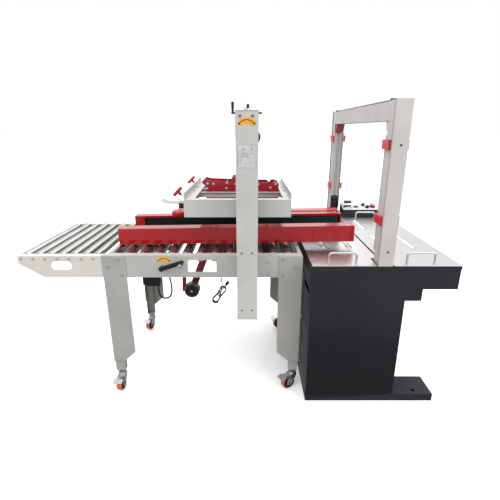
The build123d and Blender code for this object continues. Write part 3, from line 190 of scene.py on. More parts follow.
M = {
    "grey": coat("grey_coat", GREY, 0.40, shine=0.35),
    "rail_shade_grey": coat("rail_shade_coat", RAIL_SHADE_GREY, 0.40, shine=0.35),
    "leg_shade_grey": coat("leg_shade_coat", LEG_SHADE_GREY, 0.42, dirt_and_low_shade=0.35, shine=0.35),
    "beige": coat("beige_coat", (0.56, 0.54, 0.50), 0.42, shine=0.35),
    "red": coat("red_gloss", RED, 0.22, peel=0.00004, gloss=0.9, drift=0.04, shine=0.05),
    "tape_red": coat("tape_head_red", (0.26, 0.006, 0.013), 0.3, gloss=0.3, drift=0.05, shine=0.3),
    "cabinet": coat("cabinet_dark", (0.021, 0.0215, 0.027), 0.45, peel=0.0001, drift=0.08, dirt_and_low_shade=0.03,
                    shine=0.12),
    "cabinet_panel": coat("cabinet_panel", (0.030, 0.030, 0.038), 0.40, peel=0.0001, shine=0.2),
    "arch": coat("arch_silver", (0.45, 0.43, 0.415), 0.34, peel=0.00003, shine=0.4),
    "roller": metal("roller_steel", (0.40, 0.40, 0.385), 0.27, (90, 1.5, 90), 8.0),
    "table": metal("brushed_table", (0.62, 0.61, 0.612), 0.30, (160, 2.0, 160), 5.0, 0.000003, 0.05),
    "handle": metal("handle_steel", (0.55, 0.55, 0.55), 0.3),
    "bolt": metal("zinc_bolt", (0.55, 0.54, 0.52), 0.35),
    "dark_bolt": metal("dark_bolt", (0.16, 0.16, 0.16), 0.4),
    "screw": metal("bright_screw", (0.5, 0.5, 0.5), 0.25, (1, 1, 8), 60.0),
    "zinc": metal("zinc_plate", (0.52, 0.53, 0.54), 0.36),
    "dark_steel": metal("dark_steel", (0.10, 0.10, 0.105), 0.45),
    "black": moulded("black_plastic", (0.008, 0.008, 0.009), 0.42),
    "navy": moulded("dark_crank", (0.006, 0.009, 0.018), 0.36),
    "white": moulded("white_plastic", (0.66, 0.67, 0.67), 0.4),
    "cream": moulded("cream_roller", (0.80, 0.79, 0.75), 0.4),
    "panel": coat("panel_grey", (0.52, 0.53, 0.54), 0.38),
    "console": coat("console_dark", (0.014, 0.016, 0.020), 0.45, peel=0.0001, shine=0.25),
    "clip": moulded("clip_red", (0.50, 0.018, 0.026), 0.32, shine=0.35),
    "track": moulded("track_grey", (0.30, 0.295, 0.285), 0.5),
    "gate": moulded("gate_grey", (0.42, 0.41, 0.39), 0.4),
    "estop": moulded("estop_red", (0.62, 0.05, 0.015), 0.28, shine=0.5),
    "green": moulded("button_green", (0.005, 0.035, 0.02), 0.3, shine=0.5),
    "rocker": moulded("rocker_red", (0.12, 0.006, 0.01), 0.35),
    "knob": moulded("knob_red", (0.36, 0.012, 0.018), 0.3, shine=0.5),
    "belt": moulded("belt_rubber", (0.002, 0.010, 0.008), 0.62, 0.0003, 420.0, shine=0.2),
    "tyre": moulded("tyre_orange", (0.58, 0.15, 0.03), 0.38),
    "cord": moulded("cord_rubber", (0.006, 0.006, 0.007), 0.42),
    "strap": moulded("strap_white", (0.62, 0.63, 0.60), 0.4, 0.0002, 300.0),
    "tape": moulded("amber_tape", (0.20, 0.17, 0.07), 0.25),
    "label_yellow": moulded("label_yellow", (0.72, 0.34, 0.02), 0.4),
    "label_sheet": moulded("label_sheet", (0.47, 0.47, 0.465), 0.4),
    "label_ink": moulded("label_ink", (0.13, 0.13, 0.14), 0.5),
}


# ---------------------------------------------------------------- CAD nodes
def crisp(name, width):
    """Welds a CAD node's facets and rounds its sharp edges as it is shown."""
    shown = NODES[name]
    weld = shown.modifiers.new("weld", "WELD")
    weld.merge_threshold = 0.00002
    flat = shown.modifiers.new("flat", "DECIMATE")
    flat.decimate_type = "DISSOLVE"
    flat.angle_limit = math.radians(1.0)
    flat.delimit = {"MATERIAL"}
    rim = shown.modifiers.new("rim", "BEVEL")
    rim.width = width
    rim.segments = 2
    rim.limit_method = "ANGLE"
    rim.angle_limit = math.radians(38)
    for face in shown.data.polygons:
        face.use_smooth = True
    shown.modifiers.new("even", "WEIGHTED_NORMAL")


def paint(name, main, *zones, width=0.0008):
    """Gives a CAD node its material, and other materials to the faces in each zone."""
    shown = NODES[name]
    shown.data.materials.clear()
    shown.data.materials.append(M[main])
    for colour, _ in zones:
        shown.data.materials.append(M[colour])
    for face in shown.data.polygons:
        face.material_index = 0
        for i, (_, inside) in enumerate(zones, 1):
            if inside(face.center):
                face.material_index = i
    crisp(name, width)


def middle_of(name):
    low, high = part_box(name)
    return (low + high) / 2


def dress_sealer():
    """Grey frame, legs and masts with dark bolts, steel rollers, red belt covers and dark cranks."""
    bolt_proud, cap_height, grip_end, collar = 0.0025, 0.0155, 0.004, 0.0221
    backing_plate = 0.0029
    paint("top_head_frame", "grey", width=0.0015)
    # the rails and legs take darker copies of the grey as painted shade
    for name in ("sealer_side_rails", "sealer_cross_members"):
        paint(name, "rail_shade_grey", width=0.0015)
    for name in ("outer_legs", "inner_legs"):
        paint(name, "leg_shade_grey", width=0.0015)
    for name, look in (("mast_near", -1), ("mast_far", 1)):
        heads = MID_Y + look * (MAST_FACE + bolt_proud)
        paint(name, "grey", ("dark_bolt", lambda c, y=heads, k=look: k * (c.y - y) > 0), width=0.002)
    paint("infeed_side_plates", "beige", width=0.0015)
    paint("frame_bolts", "bolt", width=0.0006)
    paint("bed_rollers", "roller", width=0.0015)
    for i in range(1, 8):
        paint(f"infeed_roller_{i}", "roller", width=0.0015)
    for name in ("belt_cover_near", "belt_cover_far"):
        paint(name, "red", width=0.003)
    for name in ("belt_near", "belt_far"):
        paint(name, "belt", width=0.0006)
    for name in ("belt_carriage_near", "belt_carriage_far"):
        paint(name, "dark_steel")
    paint("leadscrew_near", "screw")
    crank_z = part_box("mast_far")[1].z + cap_height
    paint("leadscrew_far", "screw", ("navy", lambda c: c.z > crank_z), width=0.0012)
    grip_y, collar_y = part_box("rail_crank")[0].y + grip_end, RAILS_LOW.y - collar
    paint("rail_crank", "screw", ("navy", lambda c: grip_y < c.y < collar_y), width=0.0012)
    plate_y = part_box("electric_box")[1].y - backing_plate
    paint("electric_box", "black", ("leg_shade_grey", lambda c: c.y > plate_y), width=0.002)


def dress_heads():
    """Red taping heads with bright spacer bolts, a black ski stop, and tape wound on black hubs."""
    spacer_y, spacer_z = 0.0585, 1.0893          # the spacer heads stand outside the plates, below this
    ski_half, ski_z = 0.0405, 0.9815
    stop_reach, stop_z, stop_y = 0.0425, (0.977, 1.0035), -0.30
    hub_rim = 0.0385
    for name in ("lower_tape_plates", "top_wipe_arms", "lower_tape_arm"):
        paint(name, "tape_red", width=0.0008)
    paint("top_tape_plates", "tape_red",
          ("bolt", lambda c: abs(c.y - MID_Y) > spacer_y and c.z < spacer_z), width=0.0008)
    for name in ("t_knob_near", "t_knob_far"):
        paint(name, "knob", width=0.0008)
    stop_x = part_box("top_head_frame")[0].x - stop_reach
    paint("flap_guide", "grey",
          ("leg_shade_grey", lambda c: c.z < ski_z and abs(c.y - MID_Y) < ski_half),
          ("black", lambda c: c.x > stop_x and stop_z[0] < c.z < stop_z[1] and c.y < stop_y))
    for name in ("top_tape_hub", "lower_tape_hub"):
        paint(name, "black",
              ("tape", lambda c, a=middle_of(name): math.hypot(c.x - a.x, c.z - a.z) > hub_rim))


def dress_casters():
    """Zinc forks, and black wheels whose tread alone is orange."""
    tread_r = 0.0335
    for i, heading in enumerate(CASTER_HEADINGS, 1):
        paint(f"caster_fork_{i}", "zinc", width=0.0008)
        trail = math.radians(heading)
        axle = Vector((-math.sin(trail), math.cos(trail), 0))

        def on_tread(c, m=middle_of(f"caster_wheel_{i}"), a=axle):
            arm = c - m
            return (arm - a * arm.dot(a)).length > tread_r

        paint(f"caster_wheel_{i}", "black", ("tyre", on_tread), width=0.0005)


def paint_console():
    """Black base, pale sloped panel, white switch box with a black flap, a rocker and a black key."""
    edge_y, edge_z, rise = 0.398, 0.8040, 0.026 / 0.122      # the panel's lower edge and its slope
    skin, box_foot, key_foot = -0.0002, 0.0045, 0.0035       # heights above the panel
    flap_height, flap_y = 0.0265, 0.4235
    box_x, rocker_x, key_x = (0.750, 0.819), (0.829, 0.862), 0.888
    rocker_y = (0.427, 0.453)

    def above(c):
        return c.z - (edge_z + (c.y - edge_y) * rise)

    def on_box(c):
        return box_x[0] < c.x < box_x[1] and above(c) > box_foot

    def on_flap(c):
        return on_box(c) and (above(c) > flap_height or c.y < flap_y)

    def on_rocker(c):
        inside = rocker_x[0] < c.x < rocker_x[1] and rocker_y[0] < c.y < rocker_y[1]
        return inside and above(c) > key_foot

    paint("console", "console",
          ("panel", lambda c: above(c) > skin),
          ("white", on_box),
          ("black", on_flap),
          ("rocker", on_rocker),
          ("black", lambda c: c.x > key_x and above(c) > key_foot), width=0.0015)


def dress_strapper():
    """Dark cabinet, steel lids with cream rollers, silver arch whose grooves are painted black as shade, red
    clips, console.
    """
    lid_rollers = {"table_lid_left": (0.470, 0.604), "table_lid_right": (0.797, 0.943)}
    roller_half, roller_low, roller_rise = 0.0122, 0.734, 0.0043
    roller_rows = ((-0.345, -0.111), (0.043, 0.277))
    handle_rise = 0.0045

    def on_roller(c, places):
        across = any(abs(c.x - x) < roller_half for x in places)
        along = any(start < c.y < end for start, end in roller_rows)
        return across and along and roller_low < c.z < TABLE_TOP + roller_rise

    paint("strapper_cabinet", "cabinet", width=0.0015)
    for name, places in lid_rollers.items():
        paint(name, "table",
              ("handle", lambda c: c.z > TABLE_TOP + handle_rise),
              ("cream", lambda c, p=places: on_roller(c, p)), width=0.0008)

    groove_x, groove_y = 0.033, (0.5835, 0.5925)
    ridge_y, ridge_z, arch_side = 0.53, (1.4655, 1.4715), 0.6102
    paint("arch_frame", "arch",
          # the grooves in the posts are painted black as shade in the recess
          ("black", lambda c: groove_y[0] < abs(c.y) < groove_y[1] and abs(c.x - ARCH_X) < groove_x),
          ("black", lambda c: ridge_z[0] < c.z < ridge_z[1] and abs(c.y) < ridge_y),
          ("black", lambda c: abs(c.y) > arch_side), width=0.002)

    guide_z = 1.3325                             # the corner guides stand above this, the clips below
    paint("arch_clips", "clip",
          ("arch", lambda c: c.z > guide_z and c.y < 0),
          # the far corner guide takes the darker head red as painted shade, as it stands in shade inside the
          # arch
          ("tape_red", lambda c: c.z > guide_z and c.y > 0), width=0.002)

    gate_x, gate_z, base_x, base_z = 0.0285, 0.79, 0.0265, 0.8865
    paint("strap_track", "track",
          ("gate", lambda c: abs(c.x - ARCH_X) > gate_x and c.z > gate_z),
          ("black", lambda c: c.z > ridge_z[1] or (c.z < base_z and abs(c.x - ARCH_X) < base_x)),
          width=0.0015)
    paint_console()
    paint("estop_button", "estop", width=0.001)
    paint("start_button", "green", width=0.001)
    paint("feed_button", "black", width=0.001)
    paint("strap_reel", "strap")
    paint("sealing_head", "dark_steel")
    for name in ("motor_cable", "power_cord", "cord_hank"):
        paint(name, "cord", width=0.0005)
    paint("cord_plug", "black", width=0.0005)


dress_sealer()
dress_heads()
dress_casters()
dress_strapper()


# ---------------------------------------------------------------- piece builders
def link(name, mesh, material, body):
    """Adds a mesh as a piece with one material, riding on a body."""
    made = bpy.data.objects.new(name, mesh)
    bpy.context.scene.collection.objects.link(made)
    mesh.materials.append(M[material])
    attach(made, body)
    return made


def from_bm(name, bm, material, body, smooth=True):
    mesh = bpy.data.meshes.new(name)
    bmesh.ops.recalc_face_normals(bm, faces=bm.faces)
    bm.to_mesh(mesh)
    bm.free()
    for face in mesh.polygons:
        face.use_smooth = smooth
    made = link(name, mesh, material, body)
    if smooth:
        made.modifiers.new("even", "WEIGHTED_NORMAL")
    return made


def add_slab(bm, low, high, round_off=0.0, segments=2, turn=None):
    """A box between two corners with rounded edges, turned by a matrix when one is given."""
    made = bmesh.ops.create_cube(bm, size=1.0)["verts"]
    low, high = Vector(low), Vector(high)
    for v in made:
        v.co = Vector(((v.co[i] + 0.5) * (high[i] - low[i]) + low[i] for i in range(3)))
    if round_off:
        edges = list({e for v in made for e in v.link_edges})
        bmesh.ops.bevel(bm, geom=edges, offset=round_off, segments=segments, profile=0.5,
                        affect="EDGES", clamp_overlap=True)
    if turn is not None:
        fresh = [v for v in bm.verts if v.is_valid and not v.tag]
        bmesh.ops.transform(bm, matrix=turn, verts=fresh)
    for v in bm.verts:
        v.tag = True


def add_lathe(bm, profile, frame_matrix, steps=32):
    """Turns a profile of (radius, height) about local Z. Radius 0 closes an end."""
    rings = []
    for r, h in profile:
        if r <= 0:
            rings.append([bm.verts.new(frame_matrix @ Vector((0, 0, h)))])
        else:
            rings.append([bm.verts.new(frame_matrix @ Vector((r * math.cos(a), r * math.sin(a), h)))
                          for a in (math.tau * i / steps for i in range(steps))])
    for a, b in zip(rings, rings[1:]):
        for i in range(steps):
            j = (i + 1) % steps
            corners = [a[i % len(a)], a[j % len(a)], b[j % len(b)], b[i % len(b)]]
            unique = list(dict.fromkeys(corners))
            if len(unique) > 2:
                bm.faces.new(unique)
    for v in bm.verts:
        v.tag = True


def facing(point, direction, spin=0.0):
    """A frame at a point whose Z axis looks along a direction."""
    turn = Vector(direction).to_track_quat("Z", "Y").to_matrix().to_4x4()
    return Matrix.Translation(Vector(point)) @ turn @ Matrix.Rotation(spin, 4, "Z")


def lathe(name, profile, at, material, body, steps=32):
    bm = bmesh.new()
    add_lathe(bm, profile, at, steps)
    return from_bm(name, bm, material, body)


def round_screw(bm, point, direction, r=0.004, spin=0.3):
    """A domed screw head with a round recess."""
    h = r * 0.55
    profile = [(r, 0), (r, h * 0.35), (r * 0.82, h * 0.8), (r * 0.45, h), (r * 0.3, h * 0.55), (0, h * 0.5)]
    add_lathe(bm, profile, facing(point, direction, spin), 16)


def outline_plate(name, points, at, thick, material, body, round_off=0.0):
    """A flat plate from an outline in a frame's XY plane, thickened along its Z."""
    bm = bmesh.new()
    low = [bm.verts.new(at @ Vector((x, y, 0))) for x, y in points]
    high = [bm.verts.new(at @ Vector((x, y, thick))) for x, y in points]
    bm.faces.new(list(reversed(low)))
    bm.faces.new(high)
    n = len(points)
    for i in range(n):
        bm.faces.new([low[i], low[(i + 1) % n], high[(i + 1) % n], high[i]])
    if round_off:
        bmesh.ops.bevel(bm, geom=list(bm.edges), offset=round_off, segments=1, affect="EDGES")
    return from_bm(name, bm, material, body, smooth=False)


def spline_curve(name, points, radius, material, body):
    """A round cord along a smooth line with the points as its control points."""
    curve = bpy.data.curves.new(name, "CURVE")
    curve.dimensions = "3D"
    line = curve.splines.new("NURBS")
    line.points.add(len(points) - 1)
    for made, p in zip(line.points, points):
        made.co = (*p, 1.0)
    line.order_u = 3
    line.use_endpoint_u = True
    line.resolution_u = 8
    curve.bevel_depth = radius
    curve.bevel_resolution = 4
    curve.use_fill_caps = True
    curve.materials.append(M[material])
    made = bpy.data.objects.new(name, curve)
    bpy.context.scene.collection.objects.link(made)
    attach(made, body)
    return made


# ---------------------------------------------------------------- cords
CORD_D, POWER_CORD_LENGTH = 0.006, 1.24
CABLE_D, MOTOR_CABLE_LENGTH = 0.010, 0.60
HANK_MIDDLE, HANK_TILT = Vector((-0.105, -0.205, 0.421)), math.radians(34)
HANK = Matrix.Translation(HANK_MIDDLE) @ Matrix.Rotation(HANK_TILT, 4, "Y")
PLUG_HEIGHT = 0.064                              # along the hank, from its middle
CORD_ROUTE = [(-0.100, -0.205, 0.640), (-0.100, -0.205, 0.598), (-0.097, -0.206, 0.556),
              (-0.090, -0.205, 0.515), (-0.086, -0.205, 0.480)]
CABLE_ROUTE = [(-0.452, -0.205, 0.676), (-0.452, -0.205, 0.610), (-0.458, -0.205, 0.545),
               (-0.462, -0.205, 0.478), (-0.461, -0.205, 0.419), (-0.439, -0.205, 0.397),
               (-0.409, -0.205, 0.397), (-0.387, -0.205, 0.419), (-0.383, -0.205, 0.476),
               (-0.392, -0.205, 0.532), (-0.405, -0.205, 0.585), (-0.411, -0.205, 0.628),
               (-0.411, -0.205, 0.676)]


def hank_turns(turns=4, half_length=0.040, fold=0.0185):
    """Flattened turns drawn in at the waist by the tie; the last one ends at its lower fold."""
    points, arc_steps = [], range(-3, 4)
    for turn in range(turns):
        layer = (turn - (turns - 1) / 2) * CORD_D * 1.02
        grow = 1.0 + random.uniform(-0.05, 0.04)
        for end in (-1, 1):
            for step in arc_steps:
                a = math.radians(30 * step)
                along = end * (half_length * grow + fold * math.cos(a))
                across = end * fold * math.sin(a)
                drift = layer + CORD_D * 0.5 * (0.25 * (end + 1) + 0.04 * step)
                points.append(HANK @ Vector((across, drift, along)))
            waist = 0.6 * end * fold
            points.append(HANK @ Vector((waist, layer * 0.9 + CORD_D * 0.25 * (end + 1), 0)))
    last_fold = len(arc_steps) + 1
    return points[:-last_fold]


def add_cords():
    """The power cord with its hank, tie, strain relief and plug, and the motor's cable loop."""
    loops = hank_turns()
    lead_in = [HANK @ Vector((-0.0125, -0.011, 0.045))]
    lead_out = [HANK @ Vector(p) for p in ((-0.003, 0.0095, 0.026), (0, 0.004, 0.050), (0, 0, 0.066))]
    route = [Vector(p) for p in CORD_ROUTE] + lead_in + loops + lead_out
    flex = spline_curve("power_cord_flex", route, CORD_D / 2, "cord", "base")
    relief_profile = [(0, 0), (0.0062, 0), (0.0060, 0.004), (0.0052, 0.005), (0.0049, 0.008),
                      (0.0043, 0.016), (0.0036, 0.024), (0.0031, 0.025)]
    relief = lathe("cord_strain_relief", relief_profile, facing(CORD_ROUTE[0], (0, 0, -1)),
                   "black", "base", 20)
    tie_profile = [(0.0170, -0.004), (0.0178, -0.002), (0.0178, 0.002), (0.0170, 0.004)]
    tie = lathe("cord_tie", tie_profile, HANK @ Matrix.Diagonal((1.0, 0.86, 1.0, 1.0)), "black", "base", 28)
    plug_frame = HANK @ Matrix.Translation((0, 0, PLUG_HEIGHT))
    plug_profile = [(0, 0), (0.0040, 0), (0.0046, 0.006), (0.0066, 0.012), (0.0088, 0.018),
                    (0.0090, 0.030), (0.0082, 0.0335), (0, 0.034)]
    plug = lathe("plug_body", plug_profile, plug_frame, "black", "base", 24)
    pin_profile = [(0, 0.034), (0.0022, 0.034), (0.0022, 0.050), (0.0014, 0.052), (0, 0.052)]
    pins = bmesh.new()
    for x in (-0.005, 0.005):
        add_lathe(pins, pin_profile, plug_frame @ Matrix.Translation((x, 0, 0)), 12)
    pins = from_bm("plug_pins", pins, "bolt", "base")
    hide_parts("power_cord", "cord_hank")
    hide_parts("cord_plug")
    cable = spline_curve("motor_cable_loop", CABLE_ROUTE, CABLE_D / 2, "cord", "base")
    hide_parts("motor_cable")


# ---------------------------------------------------------------- labels
LABEL_THICK = 0.0004


def arrow_label(name, centre, width, body):
    """A generic curved arrow with two heads on a yellow arc, flat on a face that looks to -Y."""
    at = Matrix.Translation(centre) @ Matrix.Rotation(math.radians(90), 4, "X")
    raised = at @ Matrix.Translation((0, 0, LABEL_THICK))
    r_out, r_in = width * 0.56, width * 0.28
    line_r, head = r_out * 0.80, width * 0.06
    drop = r_out * 0.72
    start, stop, steps = math.radians(32), math.radians(148), 12
    arc = [start + (stop - start) * i / steps for i in range(steps + 1)]

    def along_arc(radius, angles):
        return [(radius * math.cos(a), radius * math.sin(a) - drop) for a in angles]

    outline_plate(name, along_arc(r_out, arc) + along_arc(r_in, reversed(arc)), at, LABEL_THICK,
                  "label_yellow", body)
    shaft = along_arc(line_r + head * 0.3, arc[1:-1]) + along_arc(line_r - head * 0.3, arc[-2:0:-1])
    outline_plate(name + "_line", shaft, raised, 0.0003, "black", body)
    for side, end, a in (("r", 1, arc[1]), ("l", -1, arc[-2])):
        out = Vector((math.cos(a), math.sin(a)))
        along = Vector((math.sin(a), -math.cos(a))) * end
        tip = out * line_r - Vector((0, drop))
        corners = [tip + along * head * 1.8, tip + out * head, tip - out * head]
        outline_plate(f"{name}_head_{side}", [tuple(p) for p in corners], raised, 0.0003, "black", body)


def ring_outline(points, width):
    """A closed outline drawn as thin bars, each a quadrilateral along one side."""
    bars = []
    for (x0, y0), (x1, y1) in zip(points, points[1:] + points[:1]):
        along = Vector((x1 - x0, y1 - y0)).normalized() * width / 2
        side = Vector((-along.y, along.x))
        ends = [Vector((x0, y0)) - along, Vector((x1, y1)) + along]
        bars.append([tuple(ends[0] - side), tuple(ends[1] - side), tuple(ends[1] + side),
                     tuple(ends[0] + side)])
    return bars


def pictogram_sheet():
    """A pale instruction sheet on the near mast: a rule, thin outline shapes and short lines."""
    x0, z0, w, h = 0.024, 1.195, 0.080, 0.098
    inset, rule, stroke, tri = 0.002, 0.0008, 0.0012, 0.006
    at = Matrix.Translation((x0, MID_Y - MAST_FACE - ON_TOP, z0)) @ Matrix.Rotation(math.radians(90), 4, "X")
    outline_plate("mast_plate", [(0, 0), (w, 0), (w, h), (0, h)], at, LABEL_THICK, "label_sheet", "base")
    outlines = (
        [(inset, inset), (w - inset, inset), (w - inset, h - inset), (inset, h - inset)],
        [(0.058, 0.078), (0.058 + tri, 0.078), (0.058 + tri / 2, 0.078 + tri)],
        [(0.018, 0.044), (0.030, 0.050), (0.030, 0.064), (0.018, 0.058)],
        [(0.030, 0.050), (0.042, 0.046), (0.042, 0.060), (0.030, 0.064)],
        [(0.020, 0.072), (0.026, 0.084), (0.032, 0.076)],
        [(0.052, 0.012), (0.064, 0.012), (0.064, 0.024), (0.052, 0.024)])
    shapes = [bar for i, points in enumerate(outlines)
              for bar in ring_outline(points, stroke if i else rule)]
    for x, y, length in ((0.008, 0.034, 0.018), (0.008, 0.029, 0.012), (0.056, 0.060, 0.012)):
        shapes.append([(x, y), (x + length, y), (x + length, y + stroke), (x, y + stroke)])
    raised = at @ Matrix.Translation((0, 0, LABEL_THICK))
    for i, shape in enumerate(shapes):
        outline_plate(f"mast_plate_mark_{i}", shape, raised, 0.0002, "label_ink", "base")


def add_labels():
    arrow_label("mast_arrow", (0.064, MID_Y - MAST_FACE - ON_TOP, 1.386), 0.088, "base")
    arrow_label("rail_arrow", (-0.346, RAILS_LOW.y - ON_TOP, 0.7505), 0.079, "base")
    pictogram_sheet()


# ---------------------------------------------------------------- tape
def ribbon(name, points, half_width, middle_y, thick, material, body):
    """A flat strip along a line in the XZ plane, with its own thickness."""
    bm = bmesh.new()
    rows = []
    for i, (x, z) in enumerate(points):
        a = Vector(points[max(i - 1, 0)])
        b = Vector(points[min(i + 1, len(points) - 1)])
        along = (b - a).normalized()
        normal = Vector((-along.y, along.x)) * thick / 2
        rows.append([bm.verts.new((x + s * normal.x, middle_y + t * half_width, z + s * normal.y))
                     for s, t in ((-1, -1), (-1, 1), (1, 1), (1, -1))])
    for a, b in zip(rows, rows[1:]):
        for i in range(4):
            j = (i + 1) % 4
            bm.faces.new([a[i], a[j], b[j], b[i]])
    bm.faces.new(rows[0])
    bm.faces.new(list(reversed(rows[-1])))
    return from_bm(name, bm, material, body)


def add_tape():
    """The strips of tape that run from both hubs to the heads, and the hubs' flanges and nuts."""
    flange = [(0.0075, 0.0), (0.0075, 0.006), (0.011, 0.0065), (0.012, 0.002), (0.020, 0.0015),
              (0.022, 0.003), (0.030, 0.003), (0.032, 0.0012), (0.0365, 0.0012), (0.0375, 0.0)]
    nut = [(0, 0.006), (0.0065, 0.006), (0.0075, 0.004), (0.0075, 0)]
    flange_y, nut_y, strip_half, strip_thick = 0.0252, 0.031, 0.024, 0.0006
    for hub, body, carrier, r, target in (
            ("lower_tape_hub", "lower_tape_roll", "base", 0.0442, (-0.134, 0.752)),
            ("top_tape_hub", "top_tape_roll", "head", 0.0412, (0.018, 1.108))):
        c = middle_of(hub)
        goal = Vector((target[0] - c.x, target[1] - c.z))
        leaves = math.atan2(goal.y, goal.x) - math.acos(r / goal.length)
        start = (c.x + r * math.cos(leaves), c.z + r * math.sin(leaves))
        points = [(start[0] + (target[0] - start[0]) * t, start[1] + (target[1] - start[1]) * t)
                  for t in (0, 0.25, 0.5, 0.75, 1)]
        ribbon(hub + "_strip", points, strip_half, c.y, strip_thick, "tape", carrier)
        for side, look in (("near", -1), ("far", 1)):
            at = facing((c.x, c.y + look * flange_y, c.z), (0, look, 0))
            lathe(f"{hub}_flange_{side}", flange, at, "black", body, 40)
        lathe(f"{hub}_nut", nut, facing((c.x, c.y - nut_y, c.z), (0, -1, 0)), "bolt", body, 6)


# ---------------------------------------------------------------- sealer trim
def pitched(point):
    """A place on the level belts, turned with them about their middle."""
    turn = Matrix.Rotation(-BELT_PITCH, 4, "Y")
    return BELT_MIDDLE + turn @ (Vector(point) - BELT_MIDDLE)


def add_cover_screws():
    """Small screws along the top and the outer side of the belt covers."""
    up = pitched((0, 0, 1)) - pitched((0, 0, 0))
    (x0, x1), (z0, z1) = COVER_X, COVER_Z
    for side, outward in (("near", -1), ("far", 1)):
        inner, outer = (MID_Y + outward * y for y in COVER_Y)
        top, face = bmesh.new(), bmesh.new()
        for i in range(5):
            x = x0 + 0.03 + (x1 - x0 - 0.06) * i / 4
            round_screw(top, pitched((x, inner * 0.35 + outer * 0.65, z1)), up, 0.0045)
        for i in range(4):
            x = x0 + 0.05 + (x1 - x0 - 0.10) * i / 3
            round_screw(face, pitched((x, outer, z0 + 0.012)), (0, outward, 0), 0.0035)
        from_bm(f"cover_screws_{side}", top, "bolt", f"belt_side_{side}")
        from_bm(f"cover_face_screws_{side}", face, "tape_red", f"belt_side_{side}")


def add_head_bolts():
    """Screws on the head's side plates and dark bolts on their folded flanges."""
    low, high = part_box("top_head_frame")
    bm = bmesh.new()
    for x, look in ((low.x, -1), (high.x, 1)):
        for off in (0.305, 0.235, 0.120):
            for z in (0.975, 1.02):
                for y in (MID_Y - off, MID_Y + off):
                    round_screw(bm, (x, y, z), (look, 0, 0), 0.005)
    from_bm("head_frame_screws", bm, "bolt", "head")
    dark = bmesh.new()
    for x in (low.x + 0.016, high.x - 0.014):
        for off in (-0.061, 0.069):
            round_screw(dark, (x, MID_Y + off, 1.039), (0, 0, 1), 0.006)
    from_bm("head_flange_bolts", dark, "dark_bolt", "head")


def coil_spring(name, start, end, radius, wire, turns, material, body):
    """An extension spring between two points, with its hooks turned in."""
    start, end = Vector(start), Vector(end)
    at = facing(start, end - start)
    length = (end - start).length
    steps = turns * 12
    points = [start.copy()]
    for i in range(steps + 1):
        a = math.tau * i / 12
        t = 0.12 + 0.76 * i / steps
        points.append(at @ Vector((radius * math.cos(a), radius * math.sin(a), length * t)))
    points.append(end.copy())
    return spline_curve(name, points, wire, material, body)


def add_tape_head_parts():
    """Springs, a grooved feed roller, the knife guard and its brush inside the top taping head."""
    for side, y in (("near", MID_Y - 0.045), ("far", MID_Y + 0.045)):
        coil_spring(f"head_spring_{side}", (-0.100, y, 1.066), (0.052, y, 1.046), 0.0062, 0.0010, 16,
                    "bolt", "head")
    r, rim, ring, pitch = 0.0138, 0.0012, 0.009, 0.0102
    profile = [(0, 0), (r - rim, 0), (r, rim), (r, ring - rim), (r - rim, ring), (0, ring)]
    rings = bmesh.new()
    for i in range(9):
        add_lathe(rings, profile, facing((-0.008, MID_Y - 0.046 + pitch * i, 1.099), (0, 1, 0)), 28)
    from_bm("feed_roller_front", rings, "black", "head")
    guard = bmesh.new()
    add_slab(guard, (0.085, MID_Y - 0.040, 0.930), (0.150, MID_Y + 0.040, 0.950), 0.002)
    from_bm("knife_guard", guard, "black", "head")
    brush, bristles = bmesh.new(), 46
    for i in range(bristles):
        y = MID_Y - 0.030 + 0.060 * i / (bristles - 1)
        lean = random.uniform(-0.004, 0.004)
        add_lathe(brush, [(0.0007, 0), (0.0006, 0.020)], facing((0.060, y, 0.952), (lean, 0, -1)), 5)
    from_bm("brush_bristles", brush, "black", "head")


def add_slab_piece(name, low, high, round_off, material, body):
    """One thin slab with a small chamfer, as its own piece."""
    bm = bmesh.new()
    add_slab(bm, low, high, round_off, 1)
    from_bm(name, bm, material, body)


